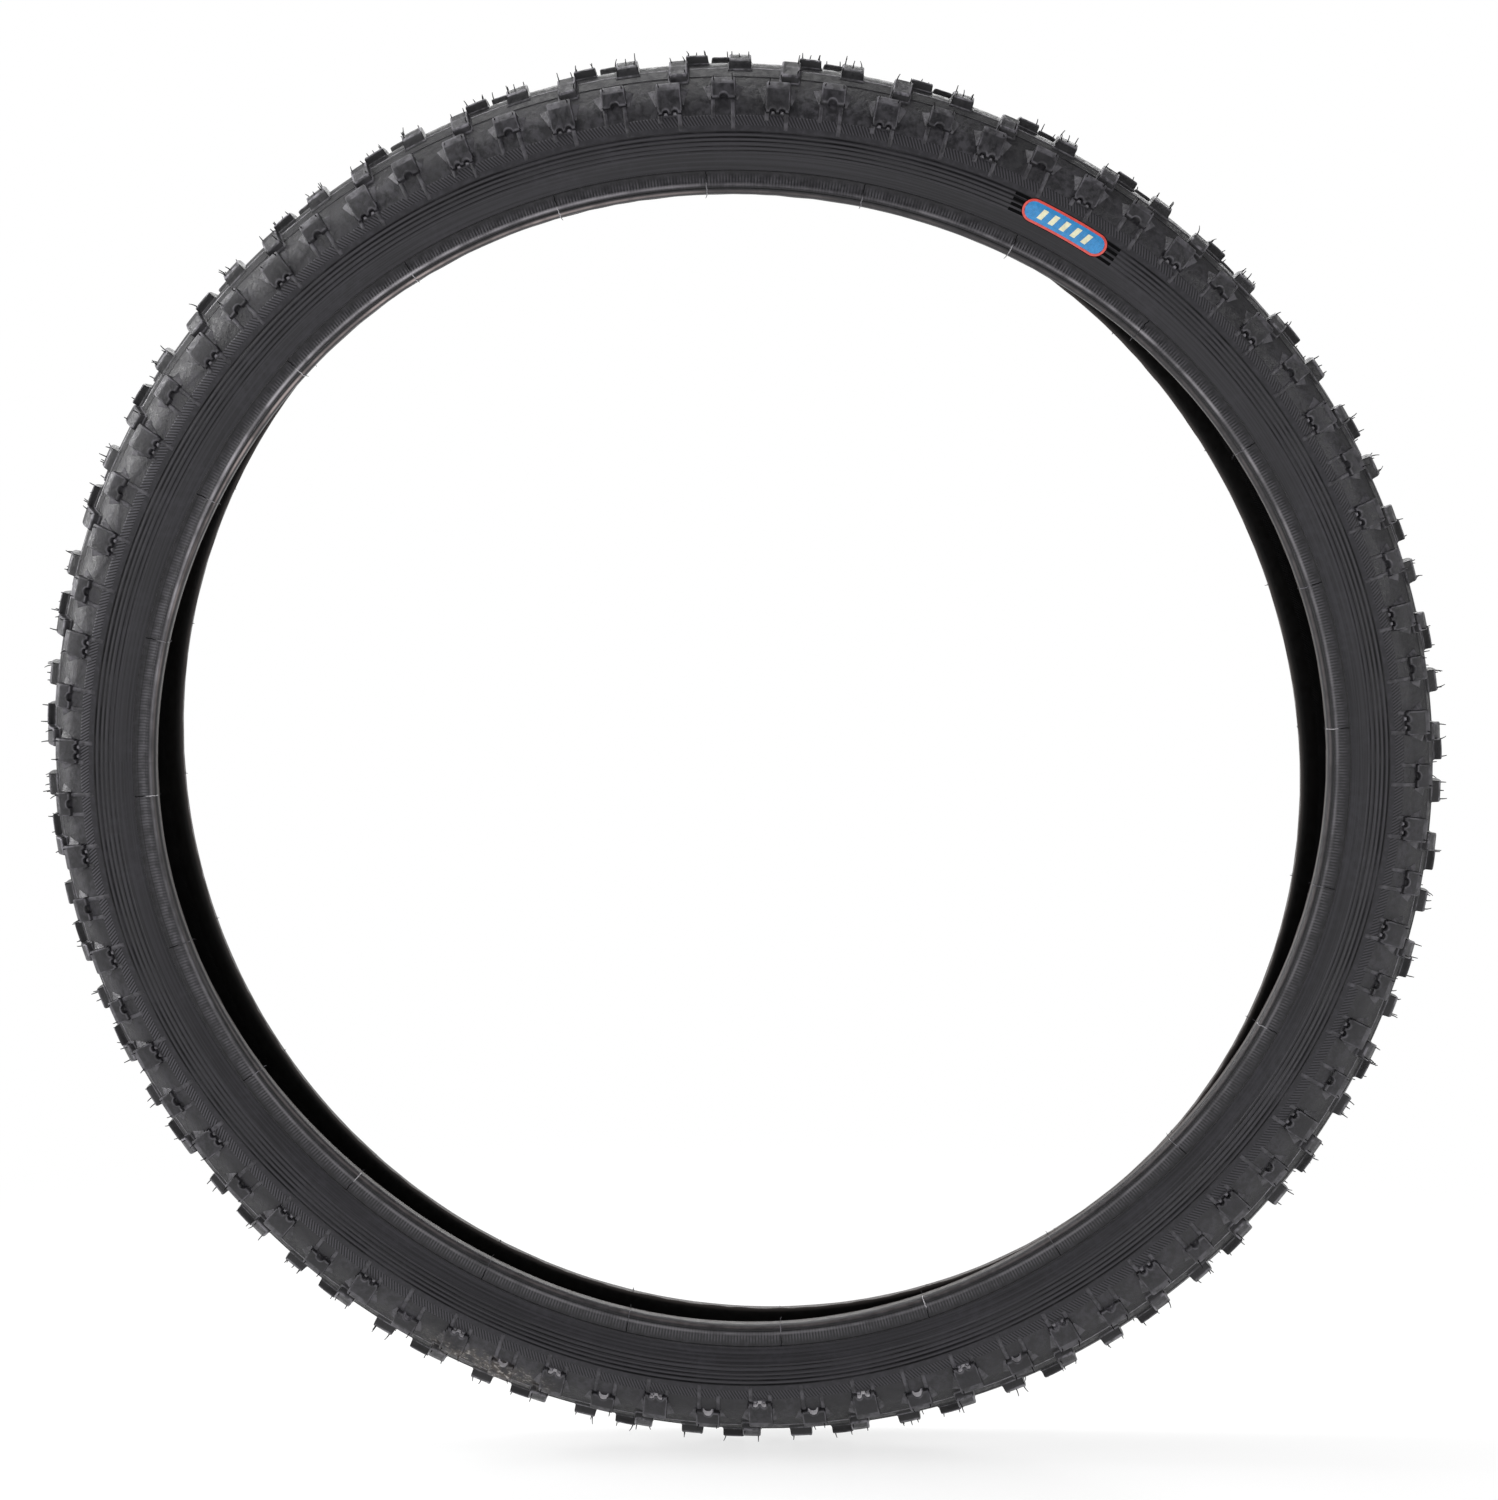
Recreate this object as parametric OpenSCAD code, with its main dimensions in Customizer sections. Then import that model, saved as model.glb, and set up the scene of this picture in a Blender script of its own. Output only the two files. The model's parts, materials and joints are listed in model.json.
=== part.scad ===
// Knobby bicycle tyre with wire beads, bead seat 559 mm, nominal section 60 mm.
// The tyre's centre is the origin, the axle runs along Y and +Z is up.
// The right side of the tyre faces -Y and carries the badge.

/* [Size] */
// Diameter of the bead seats, where the tyre grips its rim
bead_seat_d = 559; // [406:1:622]
// Height from the bead seat to the tread base at the crown
section_h = 57.5; // [54:0.5:60]
// Height from the bead seat to the widest place of the casing
belly_h = 27.5; // [26:0.5:30]
// Width of the casing at its widest place, without the knobs
casing_w = 54; // [53:0.5:58]
// Distance between the centres of the two bead cores
bead_spacing = 40.6; // [39:0.2:42]

/* [Casing plies] */
// Thickness of one rubberised cord ply
ply_t = 0.45; // [0.35:0.05:0.5]
// Height above the bead seat at which the outer ply's turn-up ends
outer_turnup_h = 20.5; // [19:0.5:22]
// Height above the bead seat at which the inner ply's turn-up ends
inner_turnup_h = 15.5; // [14:0.5:17]
// Thickness of the rubber skin at the widest place
skin_t = 0.7; // [0.6:0.1:1]
// Thickness of the tread base at the crown
base_t = 2.2; // [1.8:0.1:3]
// Clearance that stands for the bond line between two layers
bond = 0.02; // [0.01:0.01:0.04]
// Clearance between a bead core and the ply wrapped round it
core_gap = 0.06; // [0.04:0.01:0.1]
// Clearance under a block or a rib, whose flat-sided foot stands on the curved tread
foot_gap = 0.1; // [0.08:0.01:0.15]

/* [Beads] */
// Diameter of one bead wire
wire_d = 0.96; // [0.8:0.02:1]
// Radius of the rubber core that holds the wires
core_r = 2.1; // [2:0.05:2.2]
// Height of the filler's tip above the core's centre
apex_h = 10.7; // [9:0.1:11]
// Thickness of the rim strip round the bead
strip_t = 0.8; // [0.6:0.05:0.9]
// Height above the bead seat at which the rim strip ends on the outside
strip_h = 11.5; // [10:0.5:13]
// Radius of the bead's heel
heel_r = 2.6; // [2:0.1:3]
// Width of the bead from its toe to its heel
bead_w = 7.7; // [7:0.1:8]

/* [Tread pattern] */
// Number of pattern repeats round the tread
repeats = 39; // [30:1:40]
// Angle above +X of the first high shoulder knob on the right side
pattern_start = -0.9; // [-9:0.1:9]
// Height of the centre blocks above the tread base
block_h = 4.4; // [3:0.1:7]
// Height of the transition blocks above the tread base
transition_h = 4; // [3:0.1:7]
// Height of the shoulder knobs above the tread base
knob_h = 4.6; // [3:0.1:6]
// Width of a centre block round the tyre, at its top
block_w = 9.4; // [6:0.1:9.6]
// Width of a transition block round the tyre, at its top
transition_w = 8; // [6:0.1:8.2]
// Width of a shoulder knob round the tyre, at its top
knob_w = 11.4; // [8:0.1:13]
// Height above the bead seat at which the tread base meets the sidewalls
tread_edge_h = 37; // [35:0.5:38]
// Angle by which the left half of the pattern trails the right half
side_shift = 3.5; // [3:0.05:3.7]
// Diameter of a vent whisker
whisker_d = 0.7; // [0.5:0.1:1]
// Length of a vent whisker
whisker_l = 2; // [1:0.5:4]

/* [Badge] */
// Length of the badge along the sidewall
badge_l = 45.5; // [30:0.5:60]
// Height of the badge
badge_h = 12; // [10:0.5:13]
// Width of the badge's border
badge_border = 1.2; // [0.8:0.1:2]
// Angle of the badge's centre above +X
badge_angle = 59.5; // [0:0.1:359.9]
// Height of the badge's centre above the bead seat
badge_place_h = 24.5; // [24:0.5:29]
// Thickness of each badge layer
badge_t = 0.12; // [0.1:0.02:0.3]

/* [Hidden] */

// Facets of the full rings, which are true circles in the finished solids
ring_fn = 180;
// Steps round a bead core
bead_steps = 10;
// Spacing of the points along a sidewall, and of those along the crown in degrees
wall_step = 0.8;
crown_step = 6;

seat_r = bead_seat_d / 2;
belly_r = seat_r + belly_h;
crown_r = seat_r + section_h;
half_w = casing_w / 2;
core_y = bead_spacing / 2;
wrap_r = core_r + ply_t;              // Interface of the two plies round the core
core_z = seat_r + core_r + 2 * ply_t + strip_t; // Radius at which the core's centre lies
mid_crown = crown_r - base_t - ply_t - belly_r; // Ply interface above the belly
mid_half_w = half_w - skin_t - ply_t; // Ply interface at the belly
pitch = 360 / repeats;
shoulder_pitch = pitch / 2;

rubber = [0.16, 0.16, 0.17];
strip_rubber = [0.24, 0.24, 0.25];
cord = [0.36, 0.33, 0.27];
steel = [0.72, 0.72, 0.74];

// ---- Section curves. A section point is [radius, distance from the middle plane]. ----

function smooth(t) = t * t * (3 - 2 * t);

// Share of the way from the core's centre up to the belly
function rise(r) = (r - core_z) / (belly_r - core_z);

// Distance of the ply interface from the middle plane, between core and belly
function wall_y(r) = core_y - wrap_r + (mid_half_w - core_y + wrap_r) * smooth(rise(r));

// Room for the filler between the plies and their turn-ups
function filler_t(r) = 2 * core_r * pow(max(0, 1 - (r - core_z) / apex_h), 1.15);

// Everything outside the ply interface, from the core up to the belly
function wall_t(r) = ply_t + skin_t
    + (core_r + 2 * ply_t + strip_t + wrap_r - ply_t - skin_t) * pow(1 - rise(r), 2.2);

function backwards(list) = [for (i = [len(list) - 1:-1:0]) list[i]];

// Values from a to b: both ends, and the multiples of step between them. Lines that run side by
// side share these values, so that they never cross.
function shared_values(a, b, step) = let (
    low = min(a, b),
    high = max(a, b),
    between = [for (i = [ceil(low / step + 0.1):floor(high / step - 0.1)]) i * step],
    upwards = concat([low], between, [high])
) a < b ? upwards : backwards(upwards);

function radii(a, b) = shared_values(a, b, wall_step);

// Half of an ellipse above the belly, or its part between two angles (90 is at the crown)
function crown_arc(semi_r, semi_y, from = 90, to = 0) = [
    for (a = shared_values(from, to, crown_step)) [belly_r + semi_r * sin(a), semi_y * cos(a)]
];

// The ply interface offset outwards by d, from the crown to the belly
function crown_line(d) = crown_arc(mid_crown + d, mid_half_w + d);

// The ply interface offset by d, from r_top down to r_end
function wall_line(d, r_top, r_end) = [for (r = radii(r_top, r_end)) [r, wall_y(r) + d]];

// The outer skin below the belly, between two radii
function outside_line(r_from, r_to) = [for (r = radii(r_from, r_to)) [r, wall_y(r) + wall_t(r)]];

// Arc round the bead core at the radius rho, from its inner side to its outer side
function core_arc(rho) = [
    for (i = [1:bead_steps])
        let (a = -90 - 180 * i / bead_steps)
        [core_z + rho * cos(a), core_y + rho * sin(a)]
];

// A line at the distance d outside the filler, between two radii
function filler_line(d, r_from, r_to) = [
    for (r = radii(r_from, r_to)) [r, wall_y(r) + ply_t + filler_t(r) + d]
];

// One face of a ply: crown, inner wall, round the core, up the turn-up
function ply_face(d, rho, turn_d, turn_end) = concat(
    crown_line(d),
    wall_line(d, belly_r - wall_step / 2, core_z),
    core_arc(rho),
    filler_line(turn_d, core_z + wall_step / 2, turn_end)
);

function mirrored(points) = [for (p = points) [p[0], -p[1]]];

// A face on both sides of the middle plane, from one turn-up to the other
function both_sides(face) = concat(
    backwards(mirrored(face)), [for (i = [1:len(face) - 1]) face[i]]
);

// Outer skin above the belly, and its point at the radius r
function skin_arc(lift, r_from, r_to) = crown_arc(
    crown_r - belly_r + lift, half_w + lift,
    asin((r_from - belly_r) / (crown_r - belly_r)), asin((r_to - belly_r) / (crown_r - belly_r))
);
function skin_y(r, lift = 0) = r >= belly_r
    ? (half_w + lift) * sqrt(max(0, 1 - pow((r - belly_r) / (crown_r - belly_r + lift), 2)))
    : wall_y(r) + wall_t(r) + lift;

// Tread surface height: radius of a surface that stands h above the tread base
function tread_r(y, h) = belly_r + (crown_r - belly_r + h) * sqrt(1 - pow(y / (half_w + h), 2));

// ---- Building blocks ----

// A ring from a section drawn on the right side, which faces -Y
module ring(points) {
    rotate([90, 0, 0]) rotate_extrude($fn = ring_fn) polygon(points);
}

// Part of a ring, angle degrees long and centred on +X
module ring_sector(points, angle) {
    rotate([90, 0, 0]) rotate([0, 0, -angle / 2])
        rotate_extrude(angle = angle, $fn = ring_fn) polygon(points);
}

module left_side() {
    mirror([0, 1, 0]) children();
}

// Places children, drawn on +X, at the angle deg above +X
module at_angle(deg) {
    rotate([0, -deg, 0]) children();
}

// Children once in each pattern repeat
module every_repeat(offset_deg) {
    for (i = [0:repeats - 1]) at_angle(pattern_start + i * pitch + offset_deg) children();
}

// A block from its profile [radius, y] and its outline [radius, place round the tyre]
module block(profile, outline) {
    intersection() {
        linear_extrude(height = 2 * knob_w, center = true) polygon(profile);
        rotate([90, 0, 0]) linear_extrude(height = 4 * half_w, center = true) polygon(outline);
    }
}

// Outline of a block that is w wide on top, with drafted sides and a small foot
function block_outline(w, top_r, low_r) = let (
    draft = 0.7,
    foot = 0.5,
    bevel = 0.5
) [
    [low_r - 6, -w / 2 - draft - foot],
    [low_r, -w / 2 - draft - foot],
    [low_r + foot, -w / 2 - draft],
    [top_r - bevel, -w / 2],
    [top_r, -w / 2 + bevel],
    [top_r + 6, -w / 2 + bevel],
    [top_r + 6, w / 2 - bevel],
    [top_r, w / 2 - bevel],
    [top_r - bevel, w / 2],
    [low_r + foot, w / 2 + draft],
    [low_r, w / 2 + draft + foot],
    [low_r - 6, w / 2 + draft + foot]
];

// Profile of a crown block between y_in and y_out, h high, with a crease across its top. Its outer
// face leans in by outer_lean.
function crown_profile(y_in, y_out, h, outer_lean) = let (
    lean = 0.9,
    bevel = 0.8,
    y_mid = (y_in + y_out - outer_lean) / 2,
    steps = 4
) concat(
    [for (i = [0:steps])
        let (y = y_in + (y_out - y_in) * i / steps)
        [tread_r(y, foot_gap), -y]],
    [
        [tread_r(y_out - outer_lean, h - bevel), -(y_out - outer_lean)],
        [tread_r(y_out - outer_lean - bevel, h), -(y_out - outer_lean - bevel)],
        [tread_r(y_mid, h), -y_mid],
        [tread_r(y_in + lean + bevel, h), -(y_in + lean + bevel)],
        [tread_r(y_in + lean, h - bevel), -(y_in + lean)]
    ]
);

// ---- Casing ----

module ply(d_in, d_out, rho_in, rho_out, turn_in, turn_out, turn_end) {
    color(cord) ring(concat(
        both_sides(ply_face(d_in, rho_in, turn_in, turn_end)),
        backwards(both_sides(ply_face(d_out, rho_out, turn_out, turn_end)))
    ));
}

// The inner ply lies against the inner tube and ends on the outside of both turn-ups
module inner_ply() {
    ply(-ply_t, -bond, wrap_r + ply_t, wrap_r + bond,
        2 * ply_t, ply_t + bond, seat_r + inner_turnup_h);
}

// The outer ply lies next to the bead cores
module outer_ply() {
    ply(bond, ply_t, wrap_r - bond, core_r,
        ply_t - bond, bond, seat_r + outer_turnup_h);
}

// ---- Beads ----

// Seven wire turns: one in the middle and six round it
module bead_wires() {
    turn_gap = 0.04;
    color(steel) rotate([90, 0, 0]) {
        rotate_extrude($fn = ring_fn) translate([core_z, core_y]) circle(d = wire_d, $fn = 24);
        for (a = [0:60:300])
            rotate_extrude($fn = ring_fn)
                translate([core_z + (wire_d + turn_gap) * cos(a), core_y + (wire_d + turn_gap) * sin(a)])
                    circle(d = wire_d, $fn = 24);
    }
}

module bead_wires_right() { bead_wires(); }
module bead_wires_left() { left_side() bead_wires(); }

// Rubber core round the wires, drawn out to a thin tip between the plies
module bead_core() {
    pocket_r = 1.5 * wire_d + 0.06;
    tip_r = core_z + apex_h - 1.2;
    inner_face = wall_line(ply_t + core_gap, tip_r, core_z + wall_step / 2);
    outer_face = filler_line(-core_gap, core_z + wall_step / 2, tip_r);
    color(rubber) rotate([90, 0, 0]) rotate_extrude($fn = ring_fn) difference() {
        polygon(concat(inner_face, core_arc(core_r - core_gap), outer_face));
        translate([core_z, core_y]) circle(r = pocket_r, $fn = 32);
    }
}

module bead_core_right() { bead_core(); }
module bead_core_left() { left_side() bead_core(); }

// Rim strip: wraps the toe, the seat and the heel, and ends on the outside at strip_h
module rim_strip() {
    inner_end_r = core_z + 5;
    strip_top_r = seat_r + strip_h;
    heel_y = core_y + core_r + 2 * ply_t + strip_t;
    toe_y = heel_y - bead_w;
    toe_bevel = 0.5;
    ply_side = concat(
        wall_line(-ply_t - bond, inner_end_r, core_z),
        core_arc(wrap_r + ply_t + bond),
        filler_line(2 * ply_t + bond, core_z + wall_step / 2, strip_top_r)
    );
    heel = [
        for (a = [90:15:180])
            [seat_r + heel_r + heel_r * cos(a), heel_y - heel_r + heel_r * sin(a)]
    ];
    toe = [
        [seat_r, toe_y + toe_bevel],
        [seat_r + toe_bevel, toe_y],
        [core_z, toe_y + 0.1]
    ];
    color(strip_rubber) ring(concat(ply_side, outside_line(strip_top_r, core_z), heel, toe));
}

module rim_strip_right() { rim_strip(); }
module rim_strip_left() { left_side() rim_strip(); }

// ---- Sidewalls and tread base ----

// Rubber skin from the rim strip up to the tread base
module sidewall() {
    low_r = seat_r + strip_h + bond;
    edge_r = seat_r + tread_edge_h - bond;
    outer_end_r = seat_r + outer_turnup_h + bond;
    inner_end_r = seat_r + inner_turnup_h + bond;
    top_angle = asin((edge_r - belly_r) / (crown_r - belly_r));
    outside = concat(
        skin_arc(0, edge_r, belly_r),
        outside_line(belly_r - wall_step / 2, low_r)
    );
    // Steps over the ends of the two turn-ups
    inside = concat(
        filler_line(2 * ply_t + bond, low_r, inner_end_r),
        filler_line(ply_t + bond, inner_end_r, outer_end_r),
        wall_line(ply_t + bond, outer_end_r, belly_r - wall_step / 2),
        crown_arc(mid_crown + ply_t + bond, mid_half_w + ply_t + bond, 0, top_angle)
    );
    color(rubber) ring(concat(outside, inside));
}

module sidewall_right() { sidewall(); }
module sidewall_left() { left_side() sidewall(); }

// Base band under the blocks, from one sidewall to the other
module tread_base() {
    edge_angle = asin((seat_r + tread_edge_h - belly_r) / (crown_r - belly_r));
    top = crown_arc(crown_r - belly_r, half_w, 90, edge_angle);
    under = crown_arc(mid_crown + ply_t + bond, mid_half_w + ply_t + bond, 90, edge_angle);
    color(rubber) ring(concat(both_sides(top), backwards(both_sides(under))));
}

// ---- Crown blocks ----

// Angles of the right half's blocks, counted from a high shoulder knob
low_knob_at = shoulder_pitch;
transition_at = low_knob_at - 0.95;
centre_at = -1.4;

// Distances from the middle plane between which the blocks lie. Centre blocks reach past it.
centre_in = 4.5;
centre_out = 11.6;
transition_in = 8.2;
transition_out = 17.6;

// Distances by which the outer faces lean in from the foot to the top
centre_lean = 2.2;
transition_lean = 1.6;

module centre_block() {
    top_r = tread_r(0, block_h) - 0.3;
    low_r = tread_r(centre_out, 0) + 0.5;
    block(
        crown_profile(-centre_in, centre_out, block_h, centre_lean),
        block_outline(block_w, top_r, low_r)
    );
}

module transition_block() {
    top_r = tread_r((transition_in + transition_out) / 2, transition_h);
    low_r = tread_r(transition_out, 0) - 1;
    block(
        crown_profile(transition_in, transition_out, transition_h, transition_lean),
        block_outline(transition_w, top_r, low_r)
    );
}

module centre_blocks_right() { color(rubber) every_repeat(centre_at) centre_block(); }
module centre_blocks_left() {
    color(rubber) every_repeat(centre_at + side_shift) left_side() centre_block();
}
module transition_blocks_right() { color(rubber) every_repeat(transition_at) transition_block(); }
module transition_blocks_left() {
    color(rubber) every_repeat(transition_at - side_shift) left_side() transition_block();
}

// ---- Shoulder knobs ----

// Profile of a shoulder knob from r_top down to r_low: a narrow top facet, then the long face
function knob_profile(r_top, r_low) = let (
    steps = 5,
    top_facet = 3,
    crease_r = r_top - top_facet,
    foot_t = 2.6
) concat(
    [for (i = [0:steps])
        let (r = r_low + (r_top - r_low) * i / steps)
        [r, -skin_y(r, foot_gap)]],
    [
        [r_top + knob_h * 0.45, -skin_y(r_top) - knob_h * 0.42],
        [crease_r + knob_h * 0.55, -skin_y(crease_r) - knob_h * 0.62],
        [r_low + 0.4, -skin_y(r_low) - foot_t]
    ]
);

// Outline of a shoulder knob. The lower edge follows the points [height above r_low, place].
function knob_outline(r_top, r_low, lower_edge) = let (
    draft = 0.8,
    corner = 1.2
) concat(
    [
        [r_low, -knob_w / 2 - draft],
        [r_top, -knob_w / 2],
        [r_top + corner + 1, -knob_w / 2 + corner],
        [r_top + corner + 1, knob_w / 2 - corner],
        [r_top, knob_w / 2],
        [r_low, knob_w / 2 + draft]
    ],
    [for (p = lower_edge) [r_low + p[0], p[1]]]
);

module shoulder_knob(r_top, r_low, lower_edge) {
    block(knob_profile(r_top, r_low), knob_outline(r_top, r_low, lower_edge));
}

high_top_r = seat_r + 49.8;
high_low_r = seat_r + 43.2;
low_top_r = seat_r + 48.5;
low_low_r = seat_r + tread_edge_h + 0.8;

// A high knob has one arched notch in its lower edge, a low knob has two side by side
high_edge = [[0, 2.3], [1.6, 1.7], [2.3, 0], [1.6, -1.7], [0, -2.3]];
low_edge = [
    [0, 4.2], [1.5, 3.5], [2.1, 2.3], [1.5, 1.1], [0.3, 0.5],
    [0.3, -0.5], [1.5, -1.1], [2.1, -2.3], [1.5, -3.5], [0, -4.2]
];

module high_knob() { shoulder_knob(high_top_r, high_low_r, high_edge); }
module low_knob() { shoulder_knob(low_top_r, low_low_r, low_edge); }

module high_shoulder_knobs_right() { color(rubber) every_repeat(0) high_knob(); }
module low_shoulder_knobs_right() { color(rubber) every_repeat(low_knob_at) low_knob(); }
module high_shoulder_knobs_left() {
    color(rubber) every_repeat(-side_shift) left_side() high_knob();
}
module low_shoulder_knobs_left() {
    color(rubber) every_repeat(low_knob_at - side_shift) left_side() low_knob();
}

// ---- Buttress ribs: raised lines that run down from the knobs' lower corners ----

module rib(r_top, r_low, place) {
    rib_w = 2;
    rib_h = 0.5;
    steps = 3;
    function edge_point(i, lift) = let (r = r_low + (r_top - r_low) * i / steps) [r, -skin_y(r, lift)];
    under = [for (i = [0:steps]) edge_point(i, foot_gap)];
    over = [for (i = [steps:-1:0]) edge_point(i, rib_h)];
    translate([0, 0, place])
        linear_extrude(height = rib_w, center = true) polygon(concat(under, over));
}

// Places of the long and the short rib beside a knob's middle
rib_long_place = -4.3;
rib_short_place = 5.1;
rib_long_end_r = seat_r + 30.5;
rib_short_end_r = seat_r + 35.5;
badge_top_r = seat_r + badge_place_h + badge_h / 2;

// True where a rib at the angle deg would run on under the badge
function meets_badge(deg) = abs((deg - badge_angle + 540) % 360 - 180) < 6;

// The ribs of one side. Ribs that meet the badge stop above it.
module side_ribs(badge_here) {
    for (i = [0:repeats - 1]) {
        high_at = pattern_start + i * pitch;
        low_at = high_at + low_knob_at;
        high_end_r = badge_here && meets_badge(high_at) ? badge_top_r + 0.3 : rib_long_end_r;
        low_end_r = badge_here && meets_badge(low_at) ? badge_top_r + 0.3 : rib_long_end_r;
        at_angle(high_at) {
            rib(high_low_r - bond, rib_short_end_r, rib_short_place);
            rib(high_low_r - bond, high_end_r, rib_long_place);
        }
        at_angle(low_at) rib(low_low_r - bond, low_end_r, rib_long_place);
    }
}

module buttress_ribs_right() { color(rubber) side_ribs(true); }
module buttress_ribs_left() {
    color(rubber) at_angle(-side_shift) left_side() side_ribs(false);
}

// ---- Vent whiskers: thin hairs left by the mould's vent holes ----

module whisker(y, h, place) {
    translate([tread_r(y, h) + bond, -y, place])
        rotate([0, 90, 0]) cylinder(h = whisker_l, d = whisker_d, $fn = 16);
}

module centre_whiskers() {
    color(rubber) {
        for (place = [-3.4, 3.4]) {
            every_repeat(centre_at) whisker(2, block_h, place);
            every_repeat(centre_at + side_shift) left_side() whisker(2, block_h, place);
        }
    }
}

module shoulder_whiskers() {
    color(rubber) {
        every_repeat(transition_at) whisker(11, transition_h, 2.8);
        every_repeat(transition_at - side_shift) left_side() whisker(11, transition_h, 2.8);
    }
}

// ---- Badge on the right sidewall: a film, a border, a field and plain bars ----

// Section of a layer that lies lift above the skin and is h high
function badge_strip(h, lift) = let (
    steps = 8,
    r0 = seat_r + badge_place_h - h / 2
) concat(
    [for (i = [0:steps]) [r0 + h * i / steps, skin_y(r0 + h * i / steps, lift)]],
    [for (i = [steps:-1:0]) [r0 + h * i / steps, skin_y(r0 + h * i / steps, lift + badge_t)]]
);

module badge_layer(h, lift) {
    span = 16;
    at_angle(badge_angle) intersection() {
        ring_sector(badge_strip(h, lift), span);
        translate([seat_r + badge_place_h, 0, 0])
            rotate([90, 0, 0]) linear_extrude(height = 2 * half_w) children();
    }
}

module pill(l, h) {
    square([h, l - h], center = true);
    for (end = [-1, 1]) translate([0, end * (l - h) / 2]) circle(d = h, $fn = 48);
}

// Film under the badge, with four bars showing past each end
module badge_film() {
    bar_l = 5.5;
    bar_h = 1.8;
    color([0.03, 0.03, 0.03]) badge_layer(badge_h, 3 * bond) {
        pill(badge_l, badge_h - 2 * bond);
        for (i = [-1.5:1:1.5])
            translate([i * bar_h * 1.7, 0])
                square([bar_h, badge_l + 2 * bar_l], center = true);
    }
}

module badge_border() {
    color("red") badge_layer(badge_h, 4 * bond + badge_t) difference() {
        pill(badge_l - 0.6, badge_h - 0.6);
        pill(badge_l - 0.6 - 2 * badge_border, badge_h - 0.6 - 2 * badge_border);
    }
}

module badge_field() {
    inset = 0.6 + 2 * badge_border + 2 * bond;
    color([0.1, 0.35, 0.75])
        badge_layer(badge_h, 4 * bond + badge_t) pill(badge_l - inset, badge_h - inset);
}

// Five plain slanted bars
module badge_marks() {
    bar_h = 5.6;
    bar_w = 2.6;
    slant = 2;
    color([0.95, 0.93, 0.75]) badge_layer(badge_h, 5 * bond + 2 * badge_t)
        for (i = [-2:2])
            translate([0, i * 6])
                polygon([
                    [-bar_h / 2, -bar_w / 2 + slant / 2],
                    [bar_h / 2, -bar_w / 2 - slant / 2],
                    [bar_h / 2, bar_w / 2 - slant / 2],
                    [-bar_h / 2, bar_w / 2 + slant / 2]
                ]);
}

inner_ply();
outer_ply();
bead_wires_right();
bead_wires_left();
bead_core_right();
bead_core_left();
rim_strip_right();
rim_strip_left();
sidewall_right();
sidewall_left();
tread_base();
centre_blocks_right();
centre_blocks_left();
transition_blocks_right();
transition_blocks_left();
high_shoulder_knobs_right();
low_shoulder_knobs_right();
high_shoulder_knobs_left();
low_shoulder_knobs_left();
buttress_ribs_right();
buttress_ribs_left();
centre_whiskers();
shoulder_whiskers();
badge_film();
badge_border();
badge_field();
badge_marks();
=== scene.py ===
"""A knobby bicycle tyre that stands on a pale floor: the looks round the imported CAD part.

Sizes are millimetres until new_piece() turns them into metres. A place on the tyre is given as if the tyre
were truly round, by its radius, its turn above +X and its y, and relax() then gives it the slightly uneven
shape of a tyre that stands free, without a rim or air. The right side faces -Y and carries the badge.
"""
import json
import math

import bpy
import numpy as np
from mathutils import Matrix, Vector


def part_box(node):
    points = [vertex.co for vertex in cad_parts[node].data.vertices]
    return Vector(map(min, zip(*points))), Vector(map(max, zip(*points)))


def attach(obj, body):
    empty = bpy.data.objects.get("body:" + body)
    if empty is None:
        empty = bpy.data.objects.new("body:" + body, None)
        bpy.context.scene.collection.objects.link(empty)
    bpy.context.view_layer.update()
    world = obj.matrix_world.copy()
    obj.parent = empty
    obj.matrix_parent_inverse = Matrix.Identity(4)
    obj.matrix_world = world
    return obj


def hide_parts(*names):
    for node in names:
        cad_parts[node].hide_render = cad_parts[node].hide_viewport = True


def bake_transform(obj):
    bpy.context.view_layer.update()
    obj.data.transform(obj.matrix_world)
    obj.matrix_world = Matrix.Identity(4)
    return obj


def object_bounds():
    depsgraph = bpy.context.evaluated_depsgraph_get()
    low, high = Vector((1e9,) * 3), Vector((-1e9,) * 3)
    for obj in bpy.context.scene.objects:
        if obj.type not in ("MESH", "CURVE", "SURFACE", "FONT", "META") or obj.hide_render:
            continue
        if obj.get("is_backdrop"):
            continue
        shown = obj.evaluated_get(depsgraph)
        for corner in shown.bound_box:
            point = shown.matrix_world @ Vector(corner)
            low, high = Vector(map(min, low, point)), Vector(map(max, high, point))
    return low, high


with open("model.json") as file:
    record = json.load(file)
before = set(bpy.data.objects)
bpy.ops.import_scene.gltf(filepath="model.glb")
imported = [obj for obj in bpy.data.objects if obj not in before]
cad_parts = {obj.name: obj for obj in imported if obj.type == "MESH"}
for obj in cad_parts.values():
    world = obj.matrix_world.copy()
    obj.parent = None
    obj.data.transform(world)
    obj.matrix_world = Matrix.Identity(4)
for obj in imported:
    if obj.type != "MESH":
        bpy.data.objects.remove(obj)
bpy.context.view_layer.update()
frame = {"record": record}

MM = 0.001
RIGHT, LEFT = "right", "left"
SIDES = (RIGHT, LEFT)
rng = np.random.default_rng(26)


# -------- the tyre's section, from the frame

def node_mm(node, corner, axis):
    """One coordinate of a CAD node's box, in millimetres: corner 0 is the lowest, 1 the highest."""
    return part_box(node)[corner][axis] / MM


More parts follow.
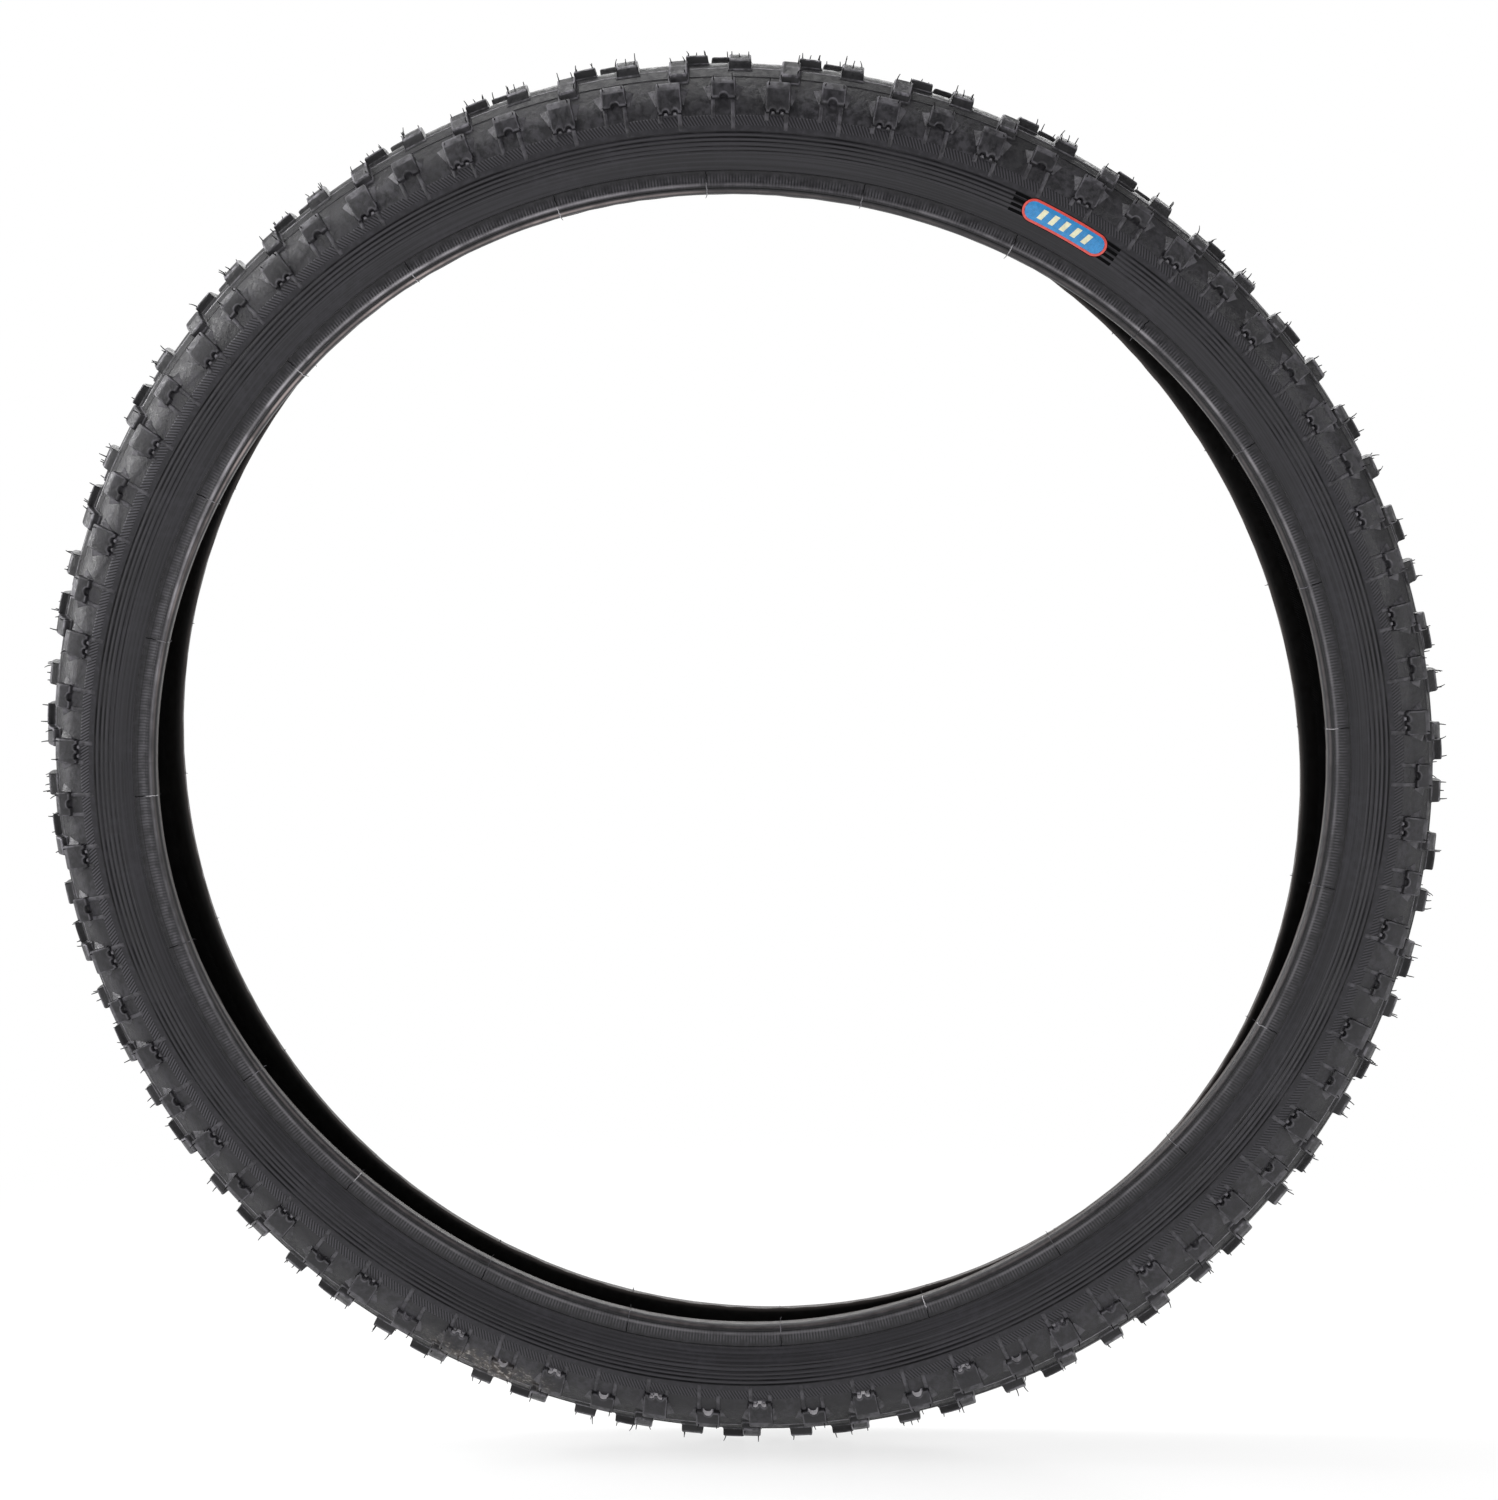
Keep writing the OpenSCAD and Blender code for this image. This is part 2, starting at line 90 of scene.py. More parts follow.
SEAT = frame["record"]["mounts"][0]["dims"]["r_mm"]
CROWN = node_mm("tread_base", 1, 2)
HALF_W = -node_mm("sidewall_right", 0, 1)
BELLY = SEAT + 27.5
WIRE_D = 0.96
WIRE_GAP = 0.04
CORE_R = 2.1
CORE_AT = node_mm("bead_wires_right", 1, 2) - 1.5 * WIRE_D - WIRE_GAP
CORE_Y = -(node_mm("bead_wires_right", 0, 1) + node_mm("bead_wires_right", 1, 1)) / 2
PLY_T = 0.45
SKIN_T = 0.7
BASE_T = 2.2
STRIP_T = 0.8
APEX_H = 10.7
BEAD_W = 7.7
HEEL_R = 2.6
BOND = 0.02
WRAP_R = CORE_R + PLY_T
HEEL_Y = CORE_Y + CORE_R + 2 * PLY_T + STRIP_T
MID_CROWN = CROWN - BASE_T - PLY_T - BELLY
MID_HALF_W = HALF_W - SKIN_T - PLY_T
STRIP_TOP = SEAT + 11.5
TREAD_EDGE = SEAT + 37
OUTER_TURNUP = SEAT + 20.5
INNER_TURNUP = SEAT + 15.5

REPEATS = 39
PITCH = 360 / REPEATS
PATTERN_START = -0.9
SIDE_SHIFT = 3.5
LOW_KNOB_AT = PITCH / 2
TRANSITION_AT = LOW_KNOB_AT - 0.95
CENTRE_AT = -1.4
BAND_R = (HALF_W + CROWN - BELLY) / 2     # Turns an angle of the section into a distance across
TREAD_R = CROWN                           # Turns an angle round the tyre into a distance along


def smooth(t):
    t = np.clip(t, 0, 1)
    return t * t * (3 - 2 * t)


def rise(r):
    return np.clip((np.asarray(r, float) - CORE_AT) / (BELLY - CORE_AT), 0, 1)


def wall_y(r):
    """Distance of the ply interface from the middle plane, between core and belly."""
    return CORE_Y - WRAP_R + (MID_HALF_W - CORE_Y + WRAP_R) * smooth(rise(r))


def filler_t(r):
    return 2 * CORE_R * np.maximum(0, 1 - (np.asarray(r, float) - CORE_AT) / APEX_H) ** 1.15


def wall_t(r):
    """Everything outside the ply interface, from the core up to the belly."""
    thin = PLY_T + SKIN_T
    return thin + (CORE_R + 2 * PLY_T + STRIP_T + WRAP_R - thin) * (1 - rise(r)) ** 2.2


def skin_y(r, lift=0.0):
    """Distance of the outer skin from the middle plane at radius r, raised by lift."""
    r = np.asarray(r, float)
    share = np.clip((r - BELLY) / (CROWN - BELLY + lift), -1, 1)
    above = (HALF_W + lift) * np.sqrt(1 - share ** 2)
    return np.where(r >= BELLY, above, wall_y(r) + wall_t(r) + lift)


# -------- the shape of a free-standing tyre

# How far each ring lies out of true round, as (size, direction in degrees) of its lobes: first a plain
# shift, then the two lobes of an oval, then three lobes and so on. A lobe bulges out in its direction.
LOBES = {
    RIGHT: ((0.5, 96), (4.3, -8.7), (1.0, 33.5), (0.8, 9.6), (0.9, -18.6)),
    LEFT: ((2.5, 86), (6.9, -59.6), (1.9, -38.3), (0.3, -28.5)),
    "crown": ((1.0, 30), (3.4, -47.3), (0.3, 23)),
}
# The tread is pressed in a little round the place on which the tyre stands
CONTACT_AT, CONTACT_HALF, CONTACT_DEPTH = math.radians(-97), math.radians(38), 2.6


def turn_from(turn, at):
    """The size of the angle between turn and at, in radians."""
    return np.abs((turn - at + math.pi) % (2 * math.pi) - math.pi)


def ring_shift(ring, turn):
    """Outward and forward movement of a ring at turn. Its length stays the same, as a wire bead's does."""
    outward = np.zeros_like(turn)
    forward = np.zeros_like(turn)
    for count, (size, direction) in enumerate(LOBES[ring], start=1):
        angle = count * (turn - math.radians(direction))
        outward = outward + size * np.cos(angle)
        forward = forward - size * np.sin(angle) / count
    return outward, forward


def bead_share(r, y):
    """How much a place follows its bead out of round: fully up to the belly, not at all at the crown."""
    up = np.maximum(r - BELLY, 0)
    return (np.abs(y) / np.maximum(np.hypot(up, y), 1e-6)) ** 1.5


def relax(r, turn, y):
    """Millimetre positions of places on the round tyre once it stands free."""
    r, turn, y = np.broadcast_arrays(np.asarray(r, float), np.asarray(turn, float), np.asarray(y, float))
    share = bead_share(r, y)
    crown_out, crown_on = ring_shift("crown", turn)
    crown_out = crown_out - CONTACT_DEPTH * smooth(1 - turn_from(turn, CONTACT_AT) / CONTACT_HALF)
    right_out, right_on = ring_shift(RIGHT, turn)
    left_out, left_on = ring_shift(LEFT, turn)
    out = crown_out + share * (np.where(y < 0, right_out, left_out) - crown_out)
    on = crown_on + share * (np.where(y < 0, right_on, left_on) - crown_on)
    cos, sin = np.cos(turn), np.sin(turn)
    return np.stack([(r + out) * cos - on * sin, y, (r + out) * sin + on * cos], -1)


# -------- pieces and how they ride


def signed_volume(points, faces):
    """A measure of the space inside, below 0 where the quads face inwards."""
    a, b, c, d = (points[faces[:, k]] for k in range(4))
    return np.sum(a * (np.cross(b, c) + np.cross(c, d)))


def new_piece(name, r, turn, y, faces, material, edge=None, sharp=35):
    """A mesh from round-tyre places. Each point keeps its round place, for materials that follow the tyre."""
    r, turn, y = (np.asarray(v, float).ravel() for v in np.broadcast_arrays(r, turn, y))
    points = relax(r, turn, y) * MM
    if signed_volume(points, faces) < 0:
        faces = faces[:, ::-1]
    mesh = bpy.data.meshes.new(name)
    mesh.vertices.add(len(points))
    mesh.vertices.foreach_set("co", points.astype(np.float32).ravel())
    mesh.loops.add(faces.size)
    mesh.loops.foreach_set("vertex_index", faces.astype(np.int32).ravel())
    mesh.polygons.add(len(faces))
    mesh.polygons.foreach_set("loop_start", np.arange(0, faces.size, 4, dtype=np.int32))
    mesh.update(calc_edges=True)
    place = mesh.attributes.new("round_place", "FLOAT_VECTOR", "POINT")
    round_points = np.stack([r * np.cos(turn), y, r * np.sin(turn)], -1)
    place.data.foreach_set("vector", round_points.astype(np.float32).ravel())
    worn_and_painted_light = mesh.attributes.new("edge", "FLOAT", "POINT")
    if edge is not None:
        worn_and_painted_light.data.foreach_set("value", edge.astype(np.float32))
    mesh.shade_smooth()
    mesh.set_sharp_from_angle(angle=math.radians(sharp))
    mesh.materials.append(material)
    piece = bpy.data.objects.new(name, mesh)
    bpy.context.scene.collection.objects.link(piece)
    return piece


def blend_to_bead(piece):
    """Bakes the piece's placement into its mesh and reads each point's round place, which is not used
    further.
    """
    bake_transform(piece)
    count = len(piece.data.vertices)
    place = np.zeros(count * 3, np.float32)
    piece.data.attributes["round_place"].data.foreach_get("vector", place)
    place = place.reshape(-1, 3)
    return piece


def grid_faces(rows, columns, rows_closed=False, columns_closed=False):
    """Quads of a grid of points, which may close on itself either way."""
    row_count = rows if rows_closed else rows - 1
    column_count = columns if columns_closed else columns - 1
    i, j = np.meshgrid(np.arange(row_count), np.arange(column_count), indexing="ij")
    up, over = (i + 1) % rows, (j + 1) % columns
    corners = [i * columns + j, i * columns + over, up * columns + over, up * columns + j]
    return np.stack(corners, -1).reshape(-1, 4)


def loop_faces(rows, columns):
    """Quads of a sheet that closes on itself both ways."""
    return grid_faces(rows, columns, True, True)


def band_faces(upper, lower):
    """Quads between two closed lines of points, given by their numbers."""
    return np.stack([upper, np.roll(upper, -1), np.roll(lower, -1), lower], -1)


def turns_round(count):
    """The turns of the given number of steps round the tyre, as a column."""
    return (np.arange(count) / count * 2 * math.pi)[:, None]


def joined(parts):
    """Several shapes as one. The last array of each holds its faces, the others a row for each point."""
    starts = np.cumsum([0] + [len(part[0]) for part in parts[:-1]])
    rows = [np.concatenate(arrays) for arrays in zip(*(part[:-1] for part in parts))]
    return (*rows, np.concatenate([part[-1] + start for part, start in zip(parts, starts)]))


def joined_piece(name, parts, material, sharp=35):
    """One piece from parts, each given as (r, turn, y, wear_and_painted_light, faces)."""
    flat = [(*(one.ravel() for one in np.broadcast_arrays(*part[:-1])), part[-1]) for part in parts]
    r, turn, y, wear_and_painted_light, faces = joined(flat)
    return new_piece(name, r, turn, y, faces, material, wear_and_painted_light, sharp)


def ring_piece(name, section_r, section_y, material, turns, sharp=35, edge=None):
    """A ring from a closed section, as arrays (points,) or (turns, points)."""
    turn = turns_round(turns)
    r, y = np.broadcast_arrays(np.atleast_2d(section_r), np.atleast_2d(section_y))
    columns = r.shape[1]
    r, turn, y = (np.broadcast_to(v, (turns, columns)) for v in (r, turn, y))
    worn_and_painted_light = None if edge is None else np.broadcast_to(edge, (turns, columns)).ravel()
    return new_piece(name, r, turn, y, loop_faces(turns, columns), material, worn_and_painted_light, sharp)


def side_sign(side):
    return -1 if side == RIGHT else 1


def spaced(a, b, step):
    return np.linspace(a, b, max(2, round(abs(b - a) / step) + 1))


# -------- shader helpers

class Shader:
    """Builds one node material from short calls."""

    def __init__(self, name):
        self.material = bpy.data.materials.new(name)
        self.material.use_nodes = True
        self.nodes = self.material.node_tree.nodes
        self.links = self.material.node_tree.links
        self.surface = self.nodes["Principled BSDF"]

    def node(self, kind, inputs=None, **settings):
        made = self.nodes.new(kind)
        for key, value in settings.items():
            setattr(made, key, value)
        for key, value in (inputs or {}).items():
            self.put(made.inputs[key], value)
        return made

    def put(self, socket, value):
        if isinstance(value, bpy.types.NodeSocket):
            self.links.new(value, socket)
        else:
            socket.default_value = value

    def math(self, operation, a, b=0.0):
        return self.node("ShaderNodeMath", {0: a, 1: b}, operation=operation).outputs[0]

    def plus(self, a, b):
        return self.math("ADD", a, b)

    def minus(self, a, b):
        return self.math("SUBTRACT", a, b)

    def times(self, a, b):
        return self.math("MULTIPLY", a, b)

    def noise(self, place, scale, detail=4.0, rough=0.55):
        inputs = {"Vector": place, "Scale": scale, "Detail": detail, "Roughness": rough}
        return self.node("ShaderNodeTexNoise", inputs).outputs["Fac"]

    def between(self, value, low, high, to_low=0.0, to_high=1.0):
        inputs = {"Value": value, "From Min": low, "From Max": high, "To Min": to_low, "To Max": to_high}
        return self.node("ShaderNodeMapRange", inputs, interpolation_type="SMOOTHSTEP").outputs[0]

    def mix(self, share, a, b):
        made = self.node("ShaderNodeMix", data_type="RGBA")
        self.put(made.inputs[0], share)
        for socket, value in ((made.inputs[6], a), (made.inputs[7], b)):
            self.put(socket, value if isinstance(value, bpy.types.NodeSocket) else (*value, 1))
        return made.outputs[2]

    def attribute(self, name, output):
        return self.node("ShaderNodeAttribute", attribute_name=name).outputs[output]

    def vector(self, x, y, z):
        return self.node("ShaderNodeCombineXYZ", {0: x, 1: y, 2: z}).outputs[0]

    def bump(self, height, depth_mm, below=None):
        inputs = {"Height": height, "Distance": depth_mm * MM, "Strength": 1.0}
        if below is not None:
            inputs["Normal"] = below
        return self.node("ShaderNodeBump", inputs).outputs[0]

    def tyre_place(self):
        """(place, radius, turn, y) on the round tyre, the lengths in millimetres and the turn in radians."""
        place = self.attribute("round_place", "Vector")
        split = self.node("ShaderNodeSeparateXYZ", {0: place})
        x, y, z = split.outputs
        radius = self.math("SQRT", self.plus(self.times(x, x), self.times(z, z)))
        return place, radius, self.math("ARCTAN2", z, x), y

    def finish(self, **inputs):
        for key, value in inputs.items():
            socket = self.surface.inputs[key.replace("_", " ")]
            if isinstance(value, tuple) and len(value) == 3:
                value = (*value, 1)
            self.put(socket, value)
        return self.material


def near(shader, value, centre, width):
    """1 at centre, falling to 0 at a distance of width."""
    away = shader.math("ABSOLUTE", shader.minus(value, centre))
    return shader.between(away, 0.0, width, 1.0, 0.0)


# -------- materials

DARK_RUBBER = (0.0108, 0.0102, 0.0128)
DUSTY_RUBBER = (0.034, 0.032, 0.039)
# Edge colour: partly rub marks, partly painted highlight where edges catch the light
WORN_RUBBER_AND_PAINTED_HIGHLIGHT = (0.15, 0.143, 0.163)
# Painted shade: near black, for walls and recesses in shadow and for sunk lines
PAINTED_SHADE_RUBBER = (0.0018, 0.0017, 0.0021)
SCUFF_BROWN = (0.062, 0.051, 0.044)
# Painted highlight: the whitest streaks in the scuffs stand in for glints
PAINTED_SCUFF_GLINT = (0.50, 0.47, 0.44)
# Painted highlight: a near-white gleam
GLEAM_RUBBER = (0.50, 0.485, 0.51)


def scuffs_with_painted_glints(shader, colour, radius, turn, y, place):
    """(colour, share) with streaky scuff patches low on the right side, round the shoulder knobs: brown rub
    marks whose whitest streaks are painted glints.
    """
    spread = shader.math("MULTIPLY",
                         near(shader, turn, math.radians(-113), math.radians(8)),
                         near(shader, radius, SEAT + 49, 8))
    spread = shader.times(spread, shader.between(y, -6.0, -4.0, 1.0, 0.0))
    share = shader.times(spread, shader.between(shader.noise(place, 0.2, 5.0, 0.7), 0.40, 0.58))
    streak = shader.noise(shader.vector(shader.times(radius, 0.9),
                                        shader.times(turn, 130.0), 0.0), 1.0, 3.0)
    # Brown rub marks, with white streaks as painted glints
    rubbed_and_painted_light = shader.mix(shader.between(streak, 0.50, 0.70), SCUFF_BROWN, PAINTED_SCUFF_GLINT)
    return shader.mix(share, colour, rubbed_and_painted_light), share


def round_lines(shader, radius, lines):
    """The sum of thin round lines, each given as (radius, width)."""
    total = 0.0
    for centre, width in lines:
        total = shader.plus(total, near(shader, radius, centre, width))
    return shader.math("MINIMUM", total, 1.0)


def tread_rubber():
    """Satin black rubber, dusty in the open, with edges lighter as rub marks and painted highlight, painted
    shade in recesses and on shaded walls, and a fine moulded grain.
    """
    shader = Shader("tread_rubber")
    place, radius, turn, y = shader.tyre_place()
    edge = shader.attribute("edge", "Fac")
    broad = shader.noise(place, 0.035, 3.0)
    patchy = shader.noise(place, 0.35, 5.0)
    grain = shader.noise(place, 2.6, 3.0)
    dust = shader.times(shader.between(patchy, 0.38, 0.66), shader.between(broad, 0.3, 0.6))
    crown = shader.between(radius, SEAT + 50, CROWN)
    dust = shader.times(dust, shader.between(crown, 0.0, 1.0, 1.0, 0.12))
    colour = shader.mix(dust, DARK_RUBBER, DUSTY_RUBBER)
    uneven = shader.between(shader.noise(place, 0.22, 3.0), 0.40, 0.62, 0.12, 1.0)
    # Edge values above 0 lighten the rubber: partly rub marks, partly painted highlight
    worn_and_painted_light = shader.times(shader.math("MAXIMUM", edge, 0.0), uneven)
    colour = shader.mix(worn_and_painted_light, colour, WORN_RUBBER_AND_PAINTED_HIGHLIGHT)
    # Painted highlight: edge values between 1 and 2 turn the rubber towards a gleam
    colour = shader.mix(shader.between(edge, 1.0, 2.0), colour, GLEAM_RUBBER)
    # Painted shade: edge values below 0 darken walls and recesses that lie in shadow and dull their
    # reflection
    painted_shade = shader.math("MAXIMUM", shader.times(edge, -1.0), 0.0)
    colour = shader.mix(painted_shade, colour, PAINTED_SHADE_RUBBER)
    colour, rubbed_and_painted_light = scuffs_with_painted_glints(shader, colour, radius, turn, y, place)
    rough = shader.between(patchy, 0.3, 0.7, 0.34, 0.56)
    rough = shader.minus(rough, shader.times(rubbed_and_painted_light, 0.12))
    normal = shader.bump(grain, 0.12)
    normal = shader.bump(patchy, 0.35, normal)
    shine = shader.between(painted_shade, 0.0, 1.0, 0.5, 0.1)
    return shader.finish(Base_Color=colour, Roughness=rough, Normal=normal, Specular_IOR_Level=shine)


def sidewall_rubber():
    """Smooth satin rubber skin: sunk round lines are darkened with painted shade and raised ones are drawn
    lighter.
    """
    shader = Shader("sidewall_rubber")
    place, radius, turn, y = shader.tyre_place()
    broad = shader.noise(place, 0.03, 3.0)
    patchy = shader.noise(place, 0.25, 5.0)
    grain = shader.noise(place, 3.0, 3.0)
    turned = shader.noise(shader.vector(radius, shader.times(turn, 2.0), 0.0), 1.1, 4.0)
    bloom = shader.times(shader.between(broad, 0.38, 0.68), shader.between(patchy, 0.3, 0.8))
    colour = shader.mix(bloom, DARK_RUBBER, (0.026, 0.0245, 0.031))
    colour = shader.mix(shader.between(turned, 0.38, 0.66, 0.0, 0.55), colour, (0.036, 0.034, 0.041))
    sunk = round_lines(shader, radius, [(r, w) for r, w, h in SIDEWALL_LINES if h < 0])
    raised = round_lines(shader, radius, [(r, w) for r, w, h in SIDEWALL_LINES if h > 0])
    faded = shader.between(shader.noise(place, 0.05, 4.0), 0.35, 0.6, 0.45, 1.0)
    raised = shader.times(raised, faded)
    sunk = shader.times(sunk, faded)
    colour = shader.mix(shader.times(raised, 0.4), colour, (0.060, 0.057, 0.067))
    # Painted shade in the sunk round lines
    colour = shader.mix(shader.times(sunk, 0.8), colour, PAINTED_SHADE_RUBBER)
    colour, _ = scuffs_with_painted_glints(shader, colour, radius, turn, y, place)
    rough = shader.between(turned, 0.3, 0.7, 0.40, 0.54)
    normal = shader.bump(grain, 0.06)
    normal = shader.bump(turned, 0.14, normal)
    shine = shader.between(sunk, 0.0, 1.0, 0.42, 0.15)
    return shader.finish(Base_Color=colour, Roughness=rough, Normal=normal, Specular_IOR_Level=shine)


def knurl_rubber():
    """The knurled band: fine slanted ridges with painted highlight on their tops and painted shade between
    them, clearer on the left of the tyre, above a plain strip.
    """
    shader = Shader("knurl_rubber")
    place, radius, turn, _ = shader.tyre_place()
    patchy = shader.noise(place, 0.3, 5.0)
    grain = shader.noise(place, 3.0, 3.0)
    slant = shader.minus(shader.times(turn, KNURLS),
                        shader.times(radius, KNURL_SLANT))
    ridge = shader.between(shader.math("SINE", slant), -0.9, 0.9)
    band = shader.between(radius, KNURL_LOW - 0.2, KNURL_LOW + 0.2)
    plain = shader.mix(shader.between(patchy, 0.4, 0.75), (0.020, 0.019, 0.023), (0.036, 0.034, 0.041))
    # Painted highlight on the ridge tops and painted shade between them, clearer on the left side where the
    # light falls across them
    faint = shader.mix(ridge, (0.007, 0.0066, 0.0082), (0.042, 0.040, 0.048))
    clear = shader.mix(ridge, (0.0035, 0.0033, 0.0042), (0.068, 0.065, 0.077))
    away = shader.minus(math.pi, shader.math("ABSOLUTE", turn))
    hatched = shader.mix(shader.between(away, 0.4, 1.3, 1.0, 0.0), faint, clear)
    colour = shader.mix(band, plain, hatched)
    rough = shader.between(patchy, 0.3, 0.7, 0.45, 0.6)
    return shader.finish(Base_Color=colour, Roughness=rough, Normal=shader.bump(grain, 0.06),
                         Specular_IOR_Level=0.38)


def strip_rubber():
    """Harder rubber: fine radial ticks in painted light and shade above a painted highlight on a ridge, a
    painted highlight on the lip, painted shade in sunk lines and on the sides inside.
    """
    shader = Shader("rim_strip_rubber")
    place, radius, turn, y = shader.tyre_place()
    patchy = shader.noise(place, 0.3, 4.0)
    grain = shader.noise(place, 3.0, 3.0)
    uneven = shader.between(shader.noise(place, 0.06, 3.0), 0.34, 0.62, 0.35, 1.0)
    spotty = shader.between(shader.noise(place, 0.22, 3.0), 0.36, 0.6, 0.3, 1.0)
    ticks = shader.between(shader.math("SINE", shader.times(turn, TICKS)), -0.8, 0.8)
    band = shader.times(near(shader, radius, SEAT + 6.4, 4.2), spotty)
    colour = shader.mix(shader.between(patchy, 0.35, 0.75), (0.009, 0.0085, 0.0105), (0.024, 0.0225, 0.027))
    away = shader.minus(math.pi, shader.math("ABSOLUTE", turn))
    at_left = shader.between(away, 0.2, 0.75, 1.0, 0.0)
    # Painted light and shade: the tick stripes, lighter on the left side where the light falls
    ticked = shader.mix(ticks, (0.006, 0.0057, 0.007), (0.075, 0.071, 0.083))
    ticked = shader.mix(at_left, ticked, shader.mix(ticks, (0.040, 0.038, 0.044), (0.105, 0.100, 0.115)))
    colour = shader.mix(shader.times(band, 0.7), colour, ticked)
    # Painted highlight on the strip's ridge: strongest on the upper left, weaker on the upper right, shifted
    # towards the lip on the left
    upper_left = near(shader, turn, math.radians(135), math.radians(65))
    upper_right = shader.times(near(shader, turn, math.radians(45), math.radians(50)), 0.6)
    lit = shader.math("MAXIMUM", upper_left, upper_right)
    ridge_place = shader.plus(radius, shader.times(at_left, 2.0))
    ridge = shader.times(near(shader, ridge_place, SEAT + 4.6, 1.25), uneven)
    ridge = shader.times(ridge, shader.between(lit, 0.0, 1.0, 0.25, 1.0))
    colour = shader.mix(ridge, colour, (0.42, 0.40, 0.43))
    # Painted highlight on the lip, mostly on the upper left
    lip = shader.times(near(shader, radius, SEAT + 1.3, 0.95), uneven)
    lip = shader.times(lip, shader.between(upper_left, 0.0, 1.0, 0.12, 0.9))
    colour = shader.mix(lip, colour, (0.46, 0.385, 0.375))
    # Painted shade in the sunk lines
    sunk = round_lines(shader, ridge_place, [(SEAT + 2.8, 0.9), (SEAT + 10.9, 0.4)])
    colour = shader.mix(shader.times(sunk, 0.75), colour, PAINTED_SHADE_RUBBER)
    # Painted shade on the strip's inner sides, with a painted highlight at the toe
    outside = shader.between(shader.math("ABSOLUTE", y), CORE_Y + 0.3, CORE_Y + 2.2)
    toe = near(shader, radius, SEAT + 0.2, 1.8)
    inside = shader.mix(toe, (0.004, 0.0035, 0.0034), (0.045, 0.038, 0.036))
    colour = shader.mix(outside, inside, colour)
    rough = shader.between(patchy, 0.3, 0.7, 0.36, 0.5)
    height = shader.times(shader.times(band, outside), ticks)
    normal = shader.bump(height, 0.10, shader.bump(grain, 0.05))
    shine = shader.between(outside, 0.0, 1.0, 0.3, 0.45)
    return shader.finish(Base_Color=colour, Roughness=rough, Normal=normal, Specular_IOR_Level=shine)


def core_rubber():
    shader = Shader("core_rubber")
    place, _, _, _ = shader.tyre_place()
    patchy = shader.noise(place, 0.4, 4.0)
    colour = shader.mix(patchy, (0.012, 0.012, 0.012), (0.03, 0.03, 0.03))
    return shader.finish(Base_Color=colour, Roughness=0.7, Normal=shader.bump(patchy, 0.15))


def casing_cord():
    """Rubberised nylon cord: fine parallel cords under a thin black coat, crossed by a second layer, kept
    very dark partly as painted shade of the tyre's inside.
    """
    shader = Shader("casing_cord")
    place, radius, turn, y = shader.tyre_place()
    along = shader.times(turn, CROWN)
    across = shader.plus(y, shader.times(radius, 0.8))
    per_mm = 2 * math.pi / 1.1
    first = shader.math("SINE", shader.times(shader.plus(along, across), per_mm * 0.7))
    second = shader.math("SINE", shader.times(shader.minus(along, across),
                                             per_mm * 0.7))
    cords = shader.plus(shader.times(first, 0.5),
                        shader.times(second, 0.22))
    patchy = shader.noise(place, 0.12, 5.0)
    # Very dark: partly the black coat, partly painted shade of the tyre's inside
    colour = shader.mix(shader.between(cords, -0.5, 0.6), (0.0022, 0.0021, 0.0024), (0.007, 0.0066, 0.0066))
    colour = shader.mix(shader.between(patchy, 0.5, 0.8, 0.0, 0.5), colour, (0.013, 0.012, 0.0115))
    return shader.finish(Base_Color=colour, Roughness=shader.between(patchy, 0.3, 0.7, 0.5, 0.68),
                         Normal=shader.bump(cords, 0.12), Specular_IOR_Level=0.2)


def bead_steel():
    """Drawn wire: fine marks run along it."""
    shader = Shader("bead_steel")
    _, radius, turn, y = shader.tyre_place()
    drawn = shader.noise(shader.vector(shader.times(radius, 9.0),
                                       shader.times(turn, 30.0),
                                       shader.times(y, 9.0)), 1.0, 3.0)
    colour = shader.mix(drawn, (0.42, 0.40, 0.36), (0.70, 0.68, 0.64))
    rough = shader.between(drawn, 0.3, 0.7, 0.25, 0.45)
    return shader.finish(Base_Color=colour, Metallic=1.0, Roughness=rough, Normal=shader.bump(drawn, 0.05))


def badge_print(name, colour, shine=0.5, coat=0.3, dullest=0.4):
    """Printed film that takes up the fine unevenness of the rubber under it."""
    shader = Shader(name)
    place, _, _, _ = shader.tyre_place()
    patchy = shader.noise(place, 0.5, 4.0)
    scratch = shader.noise(place, 4.0, 2.0)
    dull = tuple(0.78 * c for c in colour)
    mixed = shader.mix(shader.between(patchy, 0.35, 0.75), colour, dull)
    rough = shader.between(scratch, 0.3, 0.7, dullest - 0.18, dullest)
    return shader.finish(Base_Color=mixed, Roughness=rough, Normal=shader.bump(patchy, 0.12),
                         Specular_IOR_Level=shine, Coat_Weight=coat)


# Round lines of the sidewall: (radius, width, height), sunk where the height is negative
SIDEWALL_LINES = (
    (SEAT + 29.2, 0.9, -0.40), (SEAT + 28.1, 0.8, 0.24), (SEAT + 27.0, 0.9, -0.36),
    (SEAT + 25.9, 0.7, 0.20), (SEAT + 24.9, 0.6, -0.22), (SEAT + 23.9, 0.6, 0.18),
    (SEAT + 22.7, 0.5, -0.18), (SEAT + 21.6, 0.5, 0.15), (SEAT + 20.6, 0.45, -0.14),
    (SEAT + 19.6, 0.45, 0.12),
)
# The knurled band, with its ridges counted round the tyre and their slant in radians per millimetre up
BAND_LOW, KNURL_LOW, BAND_HIGH = SEAT + 30.0, SEAT + 32.4, SEAT + 36.9
KNURLS = 32 * REPEATS
KNURL_SLANT = 2.38
TICKS = 31 * REPEATS

